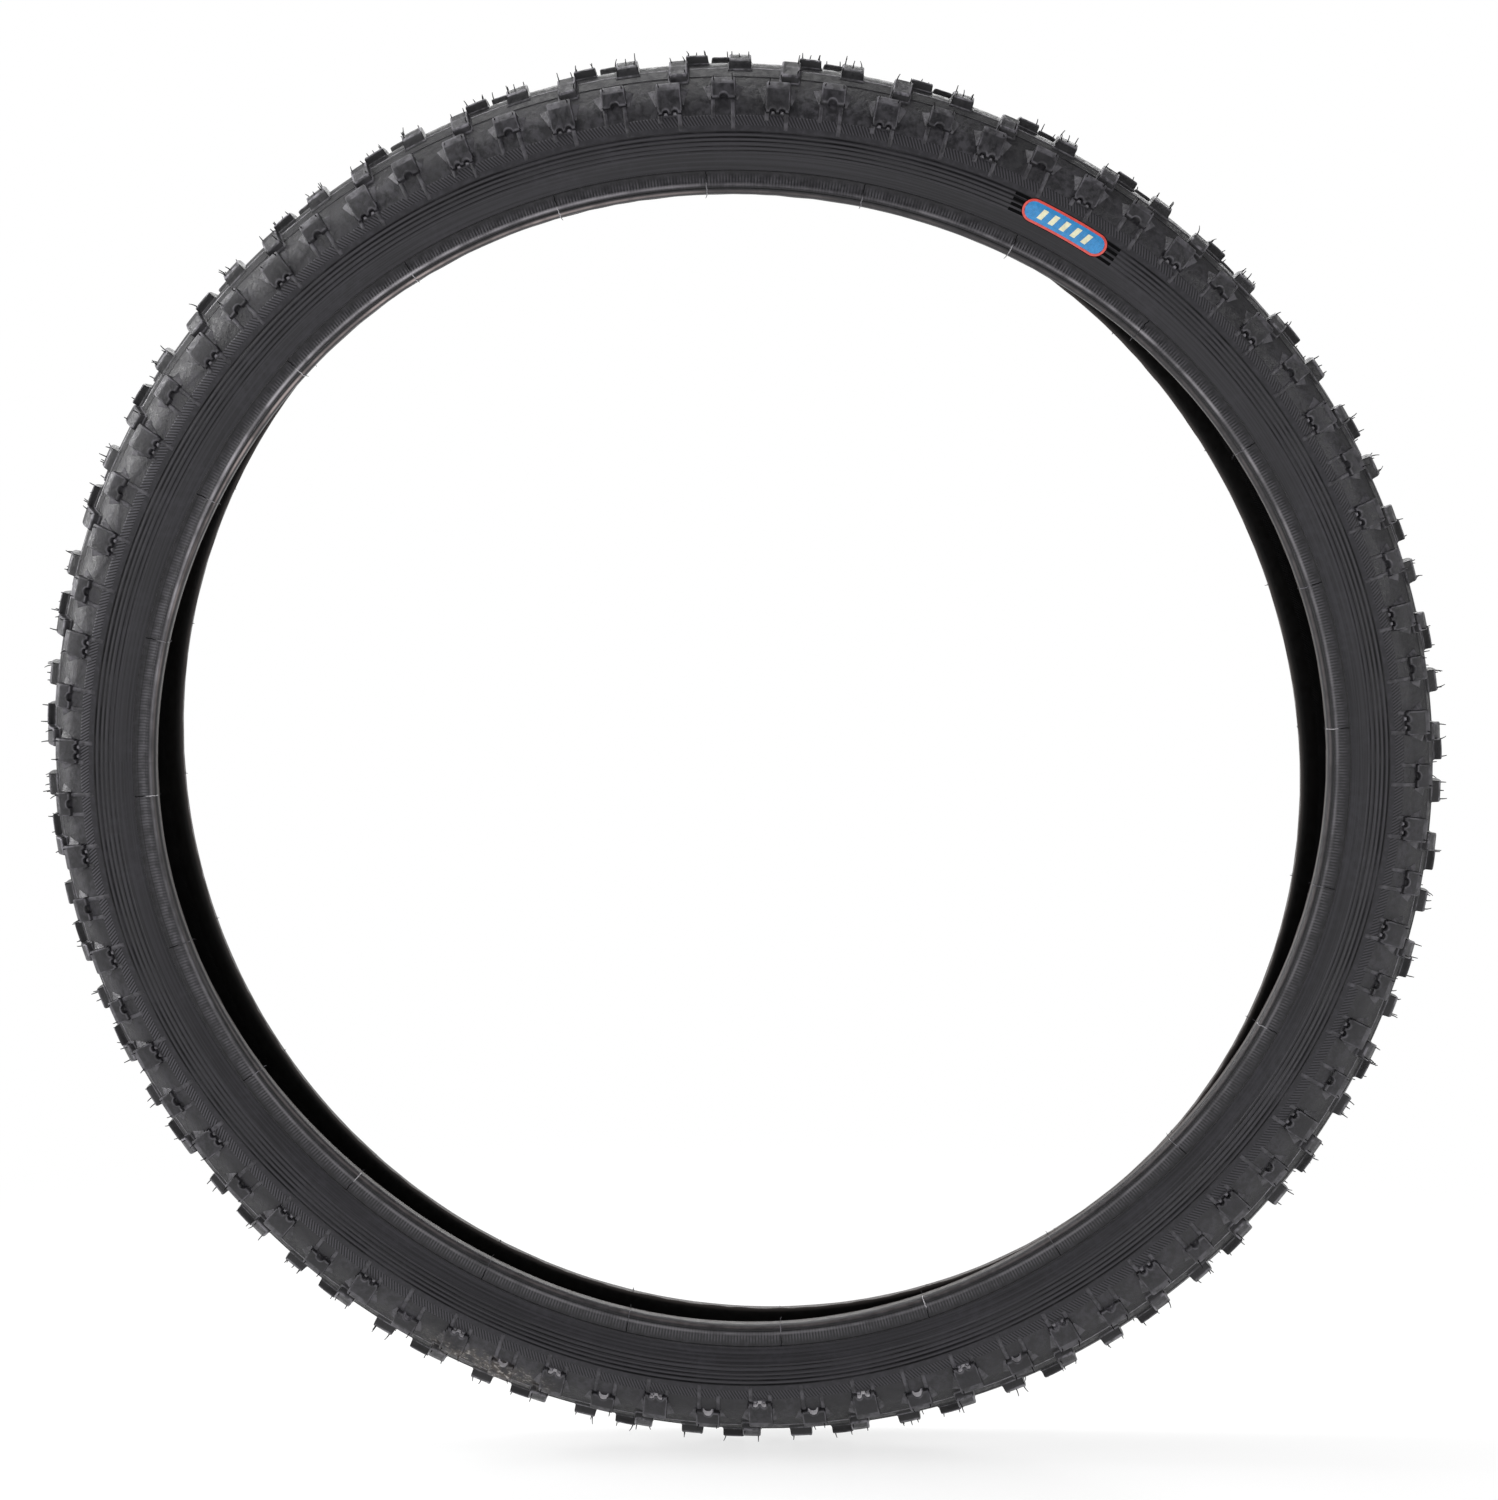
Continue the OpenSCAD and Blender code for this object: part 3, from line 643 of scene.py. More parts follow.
RUBBER = tread_rubber()
SKIN = sidewall_rubber()
KNURL = knurl_rubber()
STRIP = strip_rubber()
CORE = core_rubber()
CORD = casing_cord()
STEEL = bead_steel()
BADGE_COLOURS = {
    "black": badge_print("badge_black", (0.0025, 0.0025, 0.003), 0.05, 0.0, 0.75),
    "red": badge_print("badge_red", (0.74, 0.085, 0.07)),
    "blue": badge_print("badge_blue", (0.03, 0.27, 0.62)),
    "cream": badge_print("badge_cream", (0.88, 0.86, 0.60)),
}


# -------- plies, cores and wires

def arc_round_core(rho, steps=12):
    a = np.radians(-90 - 180 * np.arange(1, steps + 1) / steps)
    return np.stack([CORE_AT + rho * np.cos(a), CORE_Y + rho * np.sin(a)], -1)


def line(radii, distance):
    return np.stack([radii, distance], -1)


def crown_curve(d, steps=18):
    """The ply interface offset by d, from the middle plane to the belly."""
    a = np.linspace(math.pi / 2, 0, steps + 1)
    return np.stack([BELLY + (MID_CROWN + d) * np.sin(a), (MID_HALF_W + d) * np.cos(a)], -1)


def ply_face(d, rho, turn_d, turn_end):
    """One face of half a ply: crown, inner wall, round the core, up the turn-up."""
    down = spaced(BELLY, CORE_AT, 1.0)[1:]
    up = spaced(CORE_AT, turn_end, 1.0)[1:]
    return np.concatenate([
        crown_curve(d),
        line(down, wall_y(down) + d),
        arc_round_core(rho),
        line(up, wall_y(up) + PLY_T + filler_t(up) + turn_d),
    ])


def half_ply(name, side, inner, outer, node):
    section = np.concatenate([ply_face(*inner), ply_face(*outer)[::-1]])
    piece = ring_piece(name, section[:, 0], side_sign(side) * section[:, 1],
                       CORD, 12 * REPEATS)
    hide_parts(node)
    return blend_to_bead(piece)


def plies(side):
    half_ply(f"inner_ply_{side}_half", side,
             (-PLY_T, WRAP_R + PLY_T, 2 * PLY_T, INNER_TURNUP),
             (-BOND, WRAP_R + BOND, PLY_T + BOND, INNER_TURNUP), "inner_ply")
    half_ply(f"outer_ply_{side}_half", side,
             (BOND, WRAP_R - BOND, PLY_T - BOND, OUTER_TURNUP),
             (PLY_T, CORE_R, BOND, OUTER_TURNUP), "outer_ply")


def bead_filler(side):
    """The rubber core round the wires with its tip between the plies."""
    gap = 0.06
    tip = CORE_AT + APEX_H - 1.2
    down = spaced(tip, CORE_AT, 0.8)[:-1]
    up = down[::-1]
    section = np.concatenate([
        line(down, wall_y(down) + PLY_T + gap),
        arc_round_core(CORE_R - gap),
        line(up, wall_y(up) + PLY_T + filler_t(up) - gap),
    ])
    piece = ring_piece(f"bead_filler_{side}", section[:, 0], side_sign(side) * section[:, 1],
                       CORE, 8 * REPEATS)
    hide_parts(f"bead_core_{side}")
    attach(piece, f"bead_{side}")


def wire_bundle(side, round_points=10):
    """Seven turns of wire, one in the middle and six round it."""
    turns = 8 * REPEATS
    centres = [(0.0, 0.0)] + [
        ((WIRE_D + WIRE_GAP) * math.cos(a), (WIRE_D + WIRE_GAP) * math.sin(a))
        for a in np.radians(np.arange(0, 360, 60))
    ]
    a = np.arange(round_points) / round_points * 2 * math.pi
    wires = []
    for up, out in centres:
        r = CORE_AT + up + WIRE_D / 2 * np.cos(a)
        y = side_sign(side) * (CORE_Y + out + WIRE_D / 2 * np.sin(a))
        wires.append((r, turns_round(turns), y, 0.0, loop_faces(turns, round_points)))
    piece = joined_piece(f"wire_bundle_{side}", wires, STEEL)
    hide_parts(f"bead_wires_{side}")
    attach(piece, f"bead_{side}")


# -------- rim strips

def line_relief(r, centre, width, height):
    """A raised or sunk round line of the given width and height."""
    return height * smooth(1 - np.abs(r - centre) / (width / 2 + 0.12))


def heel_curve(degrees):
    """Places on the bead's round heel, from 90 on its outer face to 180 on the seat."""
    a = np.radians(degrees)
    return line(SEAT + HEEL_R + HEEL_R * np.cos(a), HEEL_Y - HEEL_R + HEEL_R * np.sin(a))


def rim_strip(side):
    """The strip round the bead: toe with thin flash, seat, heel, a groove above it and a raised top line."""
    turns = 24 * REPEATS
    inner_end = CORE_AT + 5
    toe_y = HEEL_Y - BEAD_W
    up = spaced(CORE_AT, STRIP_TOP, 1.2)[1:]
    ply_side = np.concatenate([
        line(spaced(inner_end, CORE_AT, 1.2), wall_y(spaced(inner_end, CORE_AT, 1.2)) - PLY_T - BOND),
        arc_round_core(WRAP_R + PLY_T + BOND, 9),
        line(up, wall_y(up) + 2 * PLY_T + filler_t(up) + BOND),
    ])
    lines = ((STRIP_TOP - 0.4, 0.5, 0.28), (SEAT + 4.6, 1.3, 0.22), (SEAT + 3.0, 0.7, -0.22))
    near_lines = [c + d for c, w, _ in lines for d in (-w / 2 - 0.1, -w / 4, 0, w / 4, w / 2 + 0.1)]
    radii = np.unique(np.round(np.concatenate([spaced(SEAT + HEEL_R, STRIP_TOP, 0.9), near_lines]), 2))
    radii = radii[(radii >= SEAT + HEEL_R) & (radii <= STRIP_TOP)][::-1]
    relief = sum(line_relief(radii, *one) for one in lines)
    face_y = np.where(radii < CORE_AT, HEEL_Y, wall_y(radii) + wall_t(radii)) + relief
    heel = heel_curve(np.arange(105, 181, 12.5))
    seat = [(SEAT + 0.02, y) for y in np.linspace(HEEL_Y - HEEL_R - 0.8, toe_y + 1.1, 4)]
    toe = [(SEAT, toe_y + 0.55), (SEAT - 0.05, toe_y + 0.32), (SEAT + 0.08, toe_y + 0.12),
           (SEAT + 0.5, toe_y), (SEAT + 2.0, toe_y + 0.02), (CORE_AT, toe_y + 0.1)]
    section = np.concatenate([ply_side, line(radii, face_y), heel, seat, toe])
    r = np.tile(section[:, 0], (turns, 1))
    y = np.tile(section[:, 1], (turns, 1))
    flash_at = len(section) - 5
    flash = np.abs(rough_ring(turns, 90)) * 0.35
    r[:, flash_at] -= flash
    r[:, flash_at - 1] -= flash * 0.35
    first_heel = len(ply_side) + len(radii)
    r[:, first_heel + 5:first_heel + 7] -= (np.abs(rough_ring(turns, 60)) * 0.12)[:, None]
    piece = ring_piece(f"rim_strip_shell_{side}", r, side_sign(side) * y, STRIP, turns)
    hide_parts(f"rim_strip_{side}")
    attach(piece, f"bead_{side}")


def rough_ring(count, waves):
    """A smooth random line round the tyre, from -1 to 1, with about the given number of waves."""
    turn = np.arange(count) / count * 2 * math.pi
    total = np.zeros(count)
    for k in rng.integers(waves // 4, waves, 14):
        total += rng.normal() * np.cos(k * turn + rng.uniform(0, 2 * math.pi))
    return np.clip(total / 6, -1, 1)


# -------- sidewalls and tread base

SCALLOP_MIDDLE = SEAT + 40
SCALLOP_DEPTH = 2.4
SCALLOP_STEP = 0.3


def tread_edge_step(r, turn, side):
    """The tread rubber's edge: a low step whose line dips at each low knob and rises under each high one."""
    start = PATTERN_START - (SIDE_SHIFT if side == LEFT else 0)
    wave = np.cos((turn - math.radians(start)) * REPEATS)
    edge = SCALLOP_MIDDLE + SCALLOP_DEPTH * wave
    return SCALLOP_STEP * smooth((r - edge + 0.9) / 1.8)


def badge_cover(turn):
    """1 under the badge, where the sidewall has no round lines, and 0 elsewhere."""
    return smooth((math.radians(6.4) - turn_from(turn, math.radians(BADGE_AT))) / math.radians(0.4))


def sidewall(side):
    turns = 24 * REPEATS
    low = STRIP_TOP + BOND
    near_lines = [c + d for c, w, _ in SIDEWALL_LINES for d in (-w / 2 - 0.1, 0, w / 2 + 0.1)]
    top_lines = spaced(TREAD_EDGE - 3, TREAD_EDGE - BOND, 0.6)
    radii = np.concatenate([spaced(low, TREAD_EDGE - BOND, 1.3), near_lines, top_lines])
    radii = np.unique(np.round(radii, 2))[::-1]
    turn = turns_round(turns)
    relief = sum(line_relief(radii, *one) for one in SIDEWALL_LINES)
    plain = badge_cover(turn) if side == RIGHT else 0.0
    lift = relief[None, :] * (1 - plain) + tread_edge_step(radii[None, :], turn, side)
    outside_r = np.tile(radii, (turns, 1))
    outside_y = skin_y(radii)[None, :] + lift
    inside = spaced(low, BELLY, 2.0)
    steps = np.where(inside < INNER_TURNUP, 2 * PLY_T, np.where(inside < OUTER_TURNUP, PLY_T, 0))
    crown = crown_curve(PLY_T + BOND)
    crown = crown[crown[:, 0] < TREAD_EDGE][::-1][1:]
    inner = np.concatenate([
        line(inside, wall_y(inside) + filler_t(inside) + PLY_T + steps + BOND),
        crown,
    ])
    r = np.concatenate([outside_r, np.tile(inner[:, 0], (turns, 1))], axis=1)
    y = np.concatenate([outside_y, np.tile(inner[:, 1], (turns, 1))], axis=1)
    piece = ring_piece(f"sidewall_skin_{side}", r, side_sign(side) * y, SKIN, turns)
    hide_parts(f"sidewall_{side}")
    return blend_to_bead(piece)


def knurl_band(side):
    """A band of fine slanted ridges under the tread's edge, with a plain strip below them."""
    turns = 4 * KNURLS
    rows = np.concatenate([[BAND_LOW, BAND_LOW + 0.5, KNURL_LOW - 0.3], spaced(KNURL_LOW, BAND_HIGH, 0.5)])
    turn = turns_round(turns)
    ridge = 0.5 + 0.5 * np.sin(turn * KNURLS - rows[None, :] * KNURL_SLANT)
    fade = smooth((rows - KNURL_LOW) / 0.5) * smooth((BAND_HIGH - rows) / 0.5)
    lift = 0.03 * smooth((rows - BAND_LOW) / 0.4) * smooth((BAND_HIGH - rows) / 0.4) + 0.16 * fade * ridge
    outside_r = np.tile(rows, (turns, 1))
    outside_y = skin_y(rows)[None, :] + lift
    under = np.array([BAND_HIGH, BAND_LOW])
    under_y = skin_y(under, -0.35)
    r = np.concatenate([outside_r, np.tile(under, (turns, 1))], axis=1)
    y = np.concatenate([outside_y, np.tile(under_y, (turns, 1))], axis=1)
    piece = ring_piece(f"knurl_band_{side}", r, side_sign(side) * y, KNURL, turns,
                       sharp=60)
    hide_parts(f"sidewall_{side}")
    return blend_to_bead(piece)


def tread_place(s, h):
    """(radius, distance from the middle plane) of a place s across from the crown and h above the base."""
    a = np.asarray(s, float) / BAND_R
    return BELLY + (CROWN - BELLY + h) * np.cos(a), (HALF_W + h) * np.sin(a)


def across_at(r):
    """Distance across the tread base from the crown at which its surface has the radius r."""
    return BAND_R * math.acos((r - BELLY) / (CROWN - BELLY))


# Two low ridges run round each half of the tread base. A painted highlight lies on the one nearer the
# crown on the upper part of the tyre, and on the other on the lower part.
RIDGES_AT, RIDGE_HALF = (10.4, 16.8), 0.7


def tread_base():
    turns = 24 * REPEATS
    edge = across_at(TREAD_EDGE)
    ridge_rows = [at + RIDGE_HALF * step for at in RIDGES_AT for step in (-1, -0.5, 0, 0.5, 1)]
    flanks = np.concatenate([spaced(26, edge, 0.7), ridge_rows])
    s = np.unique(np.round(np.concatenate([-flanks, spaced(-26, 26, 1.7)[1:-1], flanks]), 3))
    turn = turns_round(turns)
    base_r, _ = tread_place(s, 0)
    lift = np.where(s[None, :] < 0, tread_edge_step(base_r[None, :], turn, RIGHT),
                    tread_edge_step(base_r[None, :], turn, LEFT))
    a = s[None, :] / BAND_R
    ridges = [smooth(1 - np.abs(np.abs(s) - at) / RIDGE_HALF)[None, :] for at in RIDGES_AT]
    lift = lift + 0.3 * sum(ridges)
    top_r = BELLY + (CROWN - BELLY + lift - SCALLOP_STEP) * np.cos(a)
    top_y = (HALF_W + lift - SCALLOP_STEP * smooth((30 - np.abs(s)) / 8)[None, :]) * np.sin(a)
    inner = crown_curve(PLY_T + BOND, 14)
    inner = inner[inner[:, 0] > TREAD_EDGE - 1.5]
    under = np.concatenate([inner[::-1], inner[1:] * [1, -1]])
    r = np.concatenate([top_r, np.tile(under[:, 0], (turns, 1))], axis=1)
    y = np.concatenate([top_y, np.tile(under[:, 1], (turns, 1))], axis=1)
    upper = smooth(0.5 + 2 * np.sin(turn))
    # Painted shade darkens the base towards the crown; painted highlight lines lie on the ridges
    shade = -0.5 * smooth((28 - np.abs(s)) / 10)[None, :]
    rubbed_and_painted_light = shade + (1.6 - shade) * np.minimum(1, upper * ridges[0] + (1 - upper) * ridges[1])
    edge = np.concatenate([rubbed_and_painted_light, np.zeros((turns, len(under)))], axis=1)
    piece = ring_piece("tread_band", r, y, RUBBER, turns, edge=edge)
    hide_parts("tread_base")
    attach(piece, "tread")


# -------- blocks

FOOT_DEPTH = -0.5


def rim_order(rows, columns):
    """Indices of a grid's outer points, once round."""
    top = [(0, j) for j in range(columns)]
    right = [(i, columns - 1) for i in range(1, rows)]
    bottom = [(rows - 1, j) for j in range(columns - 2, -1, -1)]
    left = [(i, 0) for i in range(rows - 2, 0, -1)]
    return np.array(top + right + bottom + left)


def rim_normals(u, s):
    """Outward normals of a closed line, from the middle of the directions that meet at each point."""
    ahead = np.stack([np.roll(u, -1) - u, np.roll(s, -1) - s], -1)
    ahead /= np.linalg.norm(ahead, axis=1, keepdims=True)
    behind = np.roll(ahead, 1, axis=0)
    normal = np.stack([ahead[:, 1] + behind[:, 1], -ahead[:, 0] - behind[:, 0]], -1)
    length = np.linalg.norm(normal, axis=1, keepdims=True)
    normal /= np.maximum(length, 1e-6)
    normal /= np.maximum(length / 2, 0.6)
    turning = np.sum(u * np.roll(s, -1) - np.roll(u, -1) * s)
    return normal if turning > 0 else -normal


# Rings of a block's side below its top's rim: (growth outwards, share of the top's height, height added,
# tone). Above 0 it lightens edges as rub marks and painted highlight; below 0 it is painted shade on walls in
# shadow.
BLOCK_WALL = (
    (0.34, 1, -0.12, 1.0), (0.58, 1, -0.42, 0.8), (0.68, 1, -0.75, -0.2), (0.76, 0.5, 0.1, -0.3),
    (0.86, 0, 0.9, -0.35), (1.0, 0, 0.62, 0.9), (1.15, 0, 0.35, 0.3), (1.5, 0, 0.04, -0.3),
    (1.7, 0, FOOT_DEPTH, 0.0),
)
KNOB_WALL = (
    (0.30, 1, -0.08, 0.45), (0.46, 1, -0.36, 0.2), (0.54, 1, -0.6, -0.35), (0.64, 0.45, 0.0, -0.5),
    (0.76, 0, 0.35, -0.35), (0.95, 0, 0.05, -0.1), (1.1, 0, FOOT_DEPTH, 0.0),
)


def block_shell(u, s, h, wall=BLOCK_WALL, rim_wear_and_painted_highlight=1.0, top_wear_and_painted_light=None):
    """(u, s, h, edge, faces) of a closed block: a top grid, rings down its side and a flat underside."""
    rows, columns = u.shape
    order = rim_order(rows, columns)
    rim = order[:, 0] * columns + order[:, 1]
    rim_u, rim_s, rim_h = u.ravel()[rim], s.ravel()[rim], h.ravel()[rim]
    normal = rim_normals(rim_u, rim_s)
    parts = [np.stack([u.ravel(), s.ravel(), h.ravel()], -1)]
    edge = np.zeros(u.size) if top_wear_and_painted_light is None else top_wear_and_painted_light.ravel().copy()
    edge[rim] = rim_wear_and_painted_highlight
    edges = [edge]
    for grow, share, add, worn_and_painted_light in wall:
        ring = np.stack([rim_u + grow * normal[:, 0], rim_s + grow * normal[:, 1], share * rim_h + add], -1)
        parts.append(ring)
        edges.append(np.full(len(rim), worn_and_painted_light))
    parts.append(np.stack([u.ravel(), s.ravel(), np.full(u.size, FOOT_DEPTH)], -1))
    edges.append(np.zeros(u.size))
    cell = grid_faces(rows, columns)
    faces = [cell[:, ::-1]]
    count = len(rim)
    upper = rim
    for k in range(len(wall)):
        lower = u.size + k * count + np.arange(count)
        faces.append(band_faces(upper, lower))
        upper = lower
    bottom = u.size + len(wall) * count
    lower = bottom + rim
    faces.append(band_faces(upper, lower))
    faces.append(cell + bottom)
    return np.concatenate(parts), np.concatenate(edges), np.concatenate(faces)


def lean_out(shell, from_s, height, reach):
    """Slopes a block's outer face, so that its foot stands out by reach from its top."""
    points, edge, faces = shell
    points = points.copy()
    outer = smooth((points[:, 1] - from_s) / 0.8)
    points[:, 1] += reach * outer * np.clip(1 - points[:, 2] / height, 0, 1)
    return points, edge, faces


def round_corners(u, s, amount):
    """Draws a grid's four corners in, so that the block is rounded in plan."""
    u, s = u.copy(), s.copy()
    middle_u, middle_s = u.mean(), s.mean()
    for i in (0, -1):
        for j in (0, -1):
            u[i, j] += amount * np.sign(middle_u - u[i, j])
            s[i, j] += amount * np.sign(middle_s - s[i, j])
    return u, s


def notch_light(points, edge, turn, s_low):
    """Painted highlight in which the notches of the knobs low on the tyre catch the light from the floor."""
    in_notch = (np.abs(points[:, 0]) < 3.3) & (points[:, 1] > s_low - 1.7) & (edge < -0.2)
    low = smooth(1.6 - turn_from(turn, math.radians(-92)) / math.radians(30))
    return np.where(in_notch, edge + (1.8 - edge) * low, edge)


def repeat_block(name, shell, side, at, node, jitter=0.12, notch_end=None):
    """Places a block's shell once in each pattern repeat, each a little different."""
    points, edge, faces = shell
    sign = side_sign(side)
    blocks = []
    for i in range(REPEATS):
        tilt = rng.normal(0, jitter, 3)
        u, s, h = points[:, 0], points[:, 1], points[:, 2]
        top = np.clip((h - 1.0) / 1.6, 0, 1)
        lifted = h + top * (0.5 * tilt[0] + tilt[1] * u / 12)
        r, y = tread_place(s + top * tilt[2], lifted)
        turn = math.radians(PATTERN_START + at + i * PITCH) + (u + top * 0.6 * tilt[1]) / TREAD_R
        wear_and_painted_light = edge if notch_end is None else notch_light(points, edge, turn, notch_end)
        blocks.append((r, turn, sign * y, wear_and_painted_light, faces))
    piece = joined_piece(name, blocks, RUBBER, sharp=42)
    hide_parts(node)
    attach(piece, "tread")
    return piece


def block_lines(low, high, middle_step):
    """Places of grid lines between low and high, with close pairs at both ends for the lip."""
    lip = (0.45, 0.85)
    inner = spaced(low + lip[1], high - lip[1], middle_step)
    return np.concatenate([[low, low + lip[0]], inner, [high - lip[0], high]])


def centre_block_shell():
    """A long block across the crown. Its top is dished a little inside a raised lip."""
    width, height, reach = 9.0, 4.4, 3.4
    low, high = -4.1, 8.1
    u, s = np.meshgrid(block_lines(-width / 2, width / 2, 1.5), block_lines(low, high, 1.5), indexing="ij")
    inside = np.minimum(width / 2 - np.abs(u), np.minimum(s - low, high - s))
    h = height - 0.25 * smooth((inside - 0.3) / 0.6) - 0.10 * np.maximum(0, s - 4)
    h = h - 0.06 * (np.abs(u) / (width / 2)) ** 2
    u, s = round_corners(u, s, 0.6)
    # Painted shade: the block's top is drawn darker
    return lean_out(block_shell(u, s, h, top_wear_and_painted_light=-0.35 * np.ones_like(u)), high, height, reach)


def transition_block_shell():
    """A block between crown and shoulder. A crease divides its top into two facets."""
    width, height = 7.6, 4.0
    low, high = 8.9, 17.6
    crease = 13.0
    s_lines = np.unique(np.append(block_lines(low, high, 1.4), [crease - 0.25, crease + 0.25]))
    u, s = np.meshgrid(block_lines(-width / 2, width / 2, 1.4), s_lines, indexing="ij")
    inside = np.minimum(width / 2 - np.abs(u), np.minimum(s - low, high - s))
    h = height - 0.16 * np.maximum(0, s - crease) - 0.03 * np.maximum(0, crease - s)
    h = h - 0.12 * smooth((inside - 0.3) / 0.6)
    # Painted light and shade on the top: the facet nearer the crown darker, the crease lighter
    facet = np.where(s > crease, 0.08, -0.3) + 0.8 * smooth(1 - np.abs(s - crease) / 0.5)
    skew = 0.05 * (s - crease)
    u, s = round_corners(u + skew, s, 0.4)
    return lean_out(block_shell(u, s, h, top_wear_and_painted_light=facet), high, height, 1.6)


def arches(u, centres, half_width, height):
    """Height of round arches side by side, at the places u."""
    total = np.zeros_like(u)
    for centre in centres:
        inside = 1 - ((u - centre) / half_width) ** 2
        total = np.maximum(total, height * np.sqrt(np.maximum(0, inside)))
    return total


def knob_shell(s_top, s_low, width, notches):
    """A shoulder knob: a narrow top facet, lighter as rub marks and painted highlight, and a long face,
    darker downwards as painted shade, whose lower edge has arched notches.
    """
    crease = s_top + 2.8
    notch_at, notch_half, notch_h = notches
    steps = [c + d * notch_half for c in notch_at for d in (-1.04, -0.92, -0.6, 0, 0.6, 0.92, 1.04)]
    columns = np.unique(np.round(np.concatenate([block_lines(-width / 2, width / 2, 1.3), steps]), 2))
    lower = s_low - arches(columns, notch_at, notch_half, notch_h)
    shares = np.linspace(0, 1, 9)[1:]
    top_rows = np.array([s_top, s_top + 0.45, s_top + 1.4, crease - 0.25, crease + 0.25])
    face_top = crease + 0.25
    s = np.stack([np.concatenate([top_rows, face_top + (low - face_top) * shares]) for low in lower])
    u = np.repeat(columns[:, None], s.shape[1], axis=1)
    h = np.where(s < crease, 4.5 + 0.03 * (s - s_top), 4.6 - 2.0 * (s - crease) / (s_low - crease))
    face = (s - crease) / (s_low - crease)
    # Top facet lighter as rub marks and painted highlight; face darker towards its foot as painted shade
    wear_and_painted_light = np.where(s < crease, 0.36, -0.15 * smooth(face) - 0.05)
    u, s = round_corners(u * (1 + 0.035 * smooth(face)), s, 0.5)
    return block_shell(u, s, h, KNOB_WALL, rim_wear_and_painted_highlight=0.5, top_wear_and_painted_light=wear_and_painted_light)


HIGH_TOP, HIGH_LOW = SEAT + 49.8, SEAT + 43.2
LOW_TOP, LOW_LOW = SEAT + 48.5, SEAT + 37.8
HIGH_WIDTH, LOW_WIDTH = 10.8, 11.0


def web_shell(side, s_from, s_to, knob_width):
    """A ramp on one flank of a knob, wide at its top and narrow at its foot, lighter as rub marks and painted
    highlight.
    """
    u, s = np.meshgrid(np.linspace(0, 1, 5), np.linspace(s_from, s_to, 5), indexing="ij")
    down = (s - s_from) / (s_to - s_from)
    h = 0.2 + 1.3 * (1 - u) * (1 - 0.4 * down)
    u = side * (knob_width / 2 + 0.7 + u * (3.6 - 2.6 * down))
    wall = ((0.15, 0.5, 0.0, 0.1), (0.3, 0, 0.02, 0.0), (0.4, 0, FOOT_DEPTH, 0.0))
    return block_shell(u, s, h, wall, rim_wear_and_painted_highlight=0.4, top_wear_and_painted_light=np.full(u.shape, 0.42))


def high_knob_shell():
    s_top, s_low = across_at(HIGH_TOP) + 0.4, across_at(HIGH_LOW) - 0.6
    knob = knob_shell(s_top, s_low, HIGH_WIDTH, ((0.0,), 2.4, 1.6))
    webs = [web_shell(side, s_top + 1.5, s_low + 0.5, HIGH_WIDTH) for side in (-1, 1)]
    return joined([knob, *webs])


def low_knob_shell():
    s_top, s_low = across_at(LOW_TOP) + 0.4, across_at(LOW_LOW) - 0.6
    knob = knob_shell(s_top, s_low, LOW_WIDTH, ((-2.3, 2.3), 1.9, 1.5))
    webs = [web_shell(side, s_top + 0.5, s_low - 3.5, LOW_WIDTH) for side in (-1, 1)]
    return joined([knob, *webs])


def low_knob_with_mounds():
    """The low knob and the small bumps, bright with a painted gleam, that fill the mouths of its notches."""
    shells = [low_knob_shell()]
    for place in (-2.3, 2.3):
        u, s = np.meshgrid(np.linspace(-1, 1, 6), np.linspace(-1, 1, 5), indexing="ij")
        h = 0.9 - 0.5 * np.maximum(np.abs(u), np.abs(s)) ** 2
        wall = ((0.1, 0.5, 0.0, 0.4), (0.2, 0, 0.0, 0.0), (0.25, 0, FOOT_DEPTH, 0.0))
        s = across_at(LOW_LOW) - 0.5 + 0.7 * s
        # Painted gleam on the mounds' tops
        shells.append(block_shell(place + u, s, h, wall, 0.8, np.full(u.shape, 1.3)))
    return joined(shells)


def tread_blocks():
    shells = {
        "centre_block": centre_block_shell(),
        "transition_block": transition_block_shell(),
        "high_shoulder_knob": high_knob_shell(),
        "low_shoulder_knob": low_knob_with_mounds(),
    }
    places = {
        "centre_block": (CENTRE_AT, SIDE_SHIFT),
        "transition_block": (TRANSITION_AT, -SIDE_SHIFT),
        "high_shoulder_knob": (0.0, -SIDE_SHIFT),
        "low_shoulder_knob": (LOW_KNOB_AT, -SIDE_SHIFT),
    }
    notch_ends = {
        "high_shoulder_knob": across_at(HIGH_LOW) - 0.6,
        "low_shoulder_knob": across_at(LOW_LOW) - 0.6,
    }
    for kind, shell in shells.items():
        at, left_shift = places[kind]
        for side in SIDES:
            shift = left_shift if side == LEFT else 0
            repeat_block(f"moulded_{kind}s_{side}", shell, side, at + shift, f"{kind}s_{side}",
                         notch_end=notch_ends.get(kind))


# -------- ribs, whiskers, seams

def rib_points(r_top, r_low, width, height):
    """A low ridge down the shoulder, tapered at its lower end, as (u, r, lift) of a closed tube."""
    steps = 7
    radii = np.linspace(r_top, r_low, steps)
    profile = [(-0.5, -0.2), (-0.42, 0.6), (-0.22, 1.0), (0.22, 1.0), (0.42, 0.6), (0.5, -0.2)]
    fade = np.minimum(1, (steps - 1 - np.arange(steps)) / 1.5 + 0.25)
    u = np.array([[p[0] * width for p in profile]] * steps)
    lift = np.array([[p[1] * height * f for p in profile] for f in fade])
    return u, np.repeat(radii[:, None], len(profile), axis=1), lift


def tube_faces(rings, points):
    """Quads of a tube with closed ends: each end is filled by quads between opposite points."""
    near_end = np.array([[k, k + 1, points - 2 - k, points - 1 - k] for k in range(points // 2 - 1)])
    far_end = near_end + (rings - 1) * points
    return np.concatenate([grid_faces(rings, points, columns_closed=True), near_end[:, ::-1], far_end])


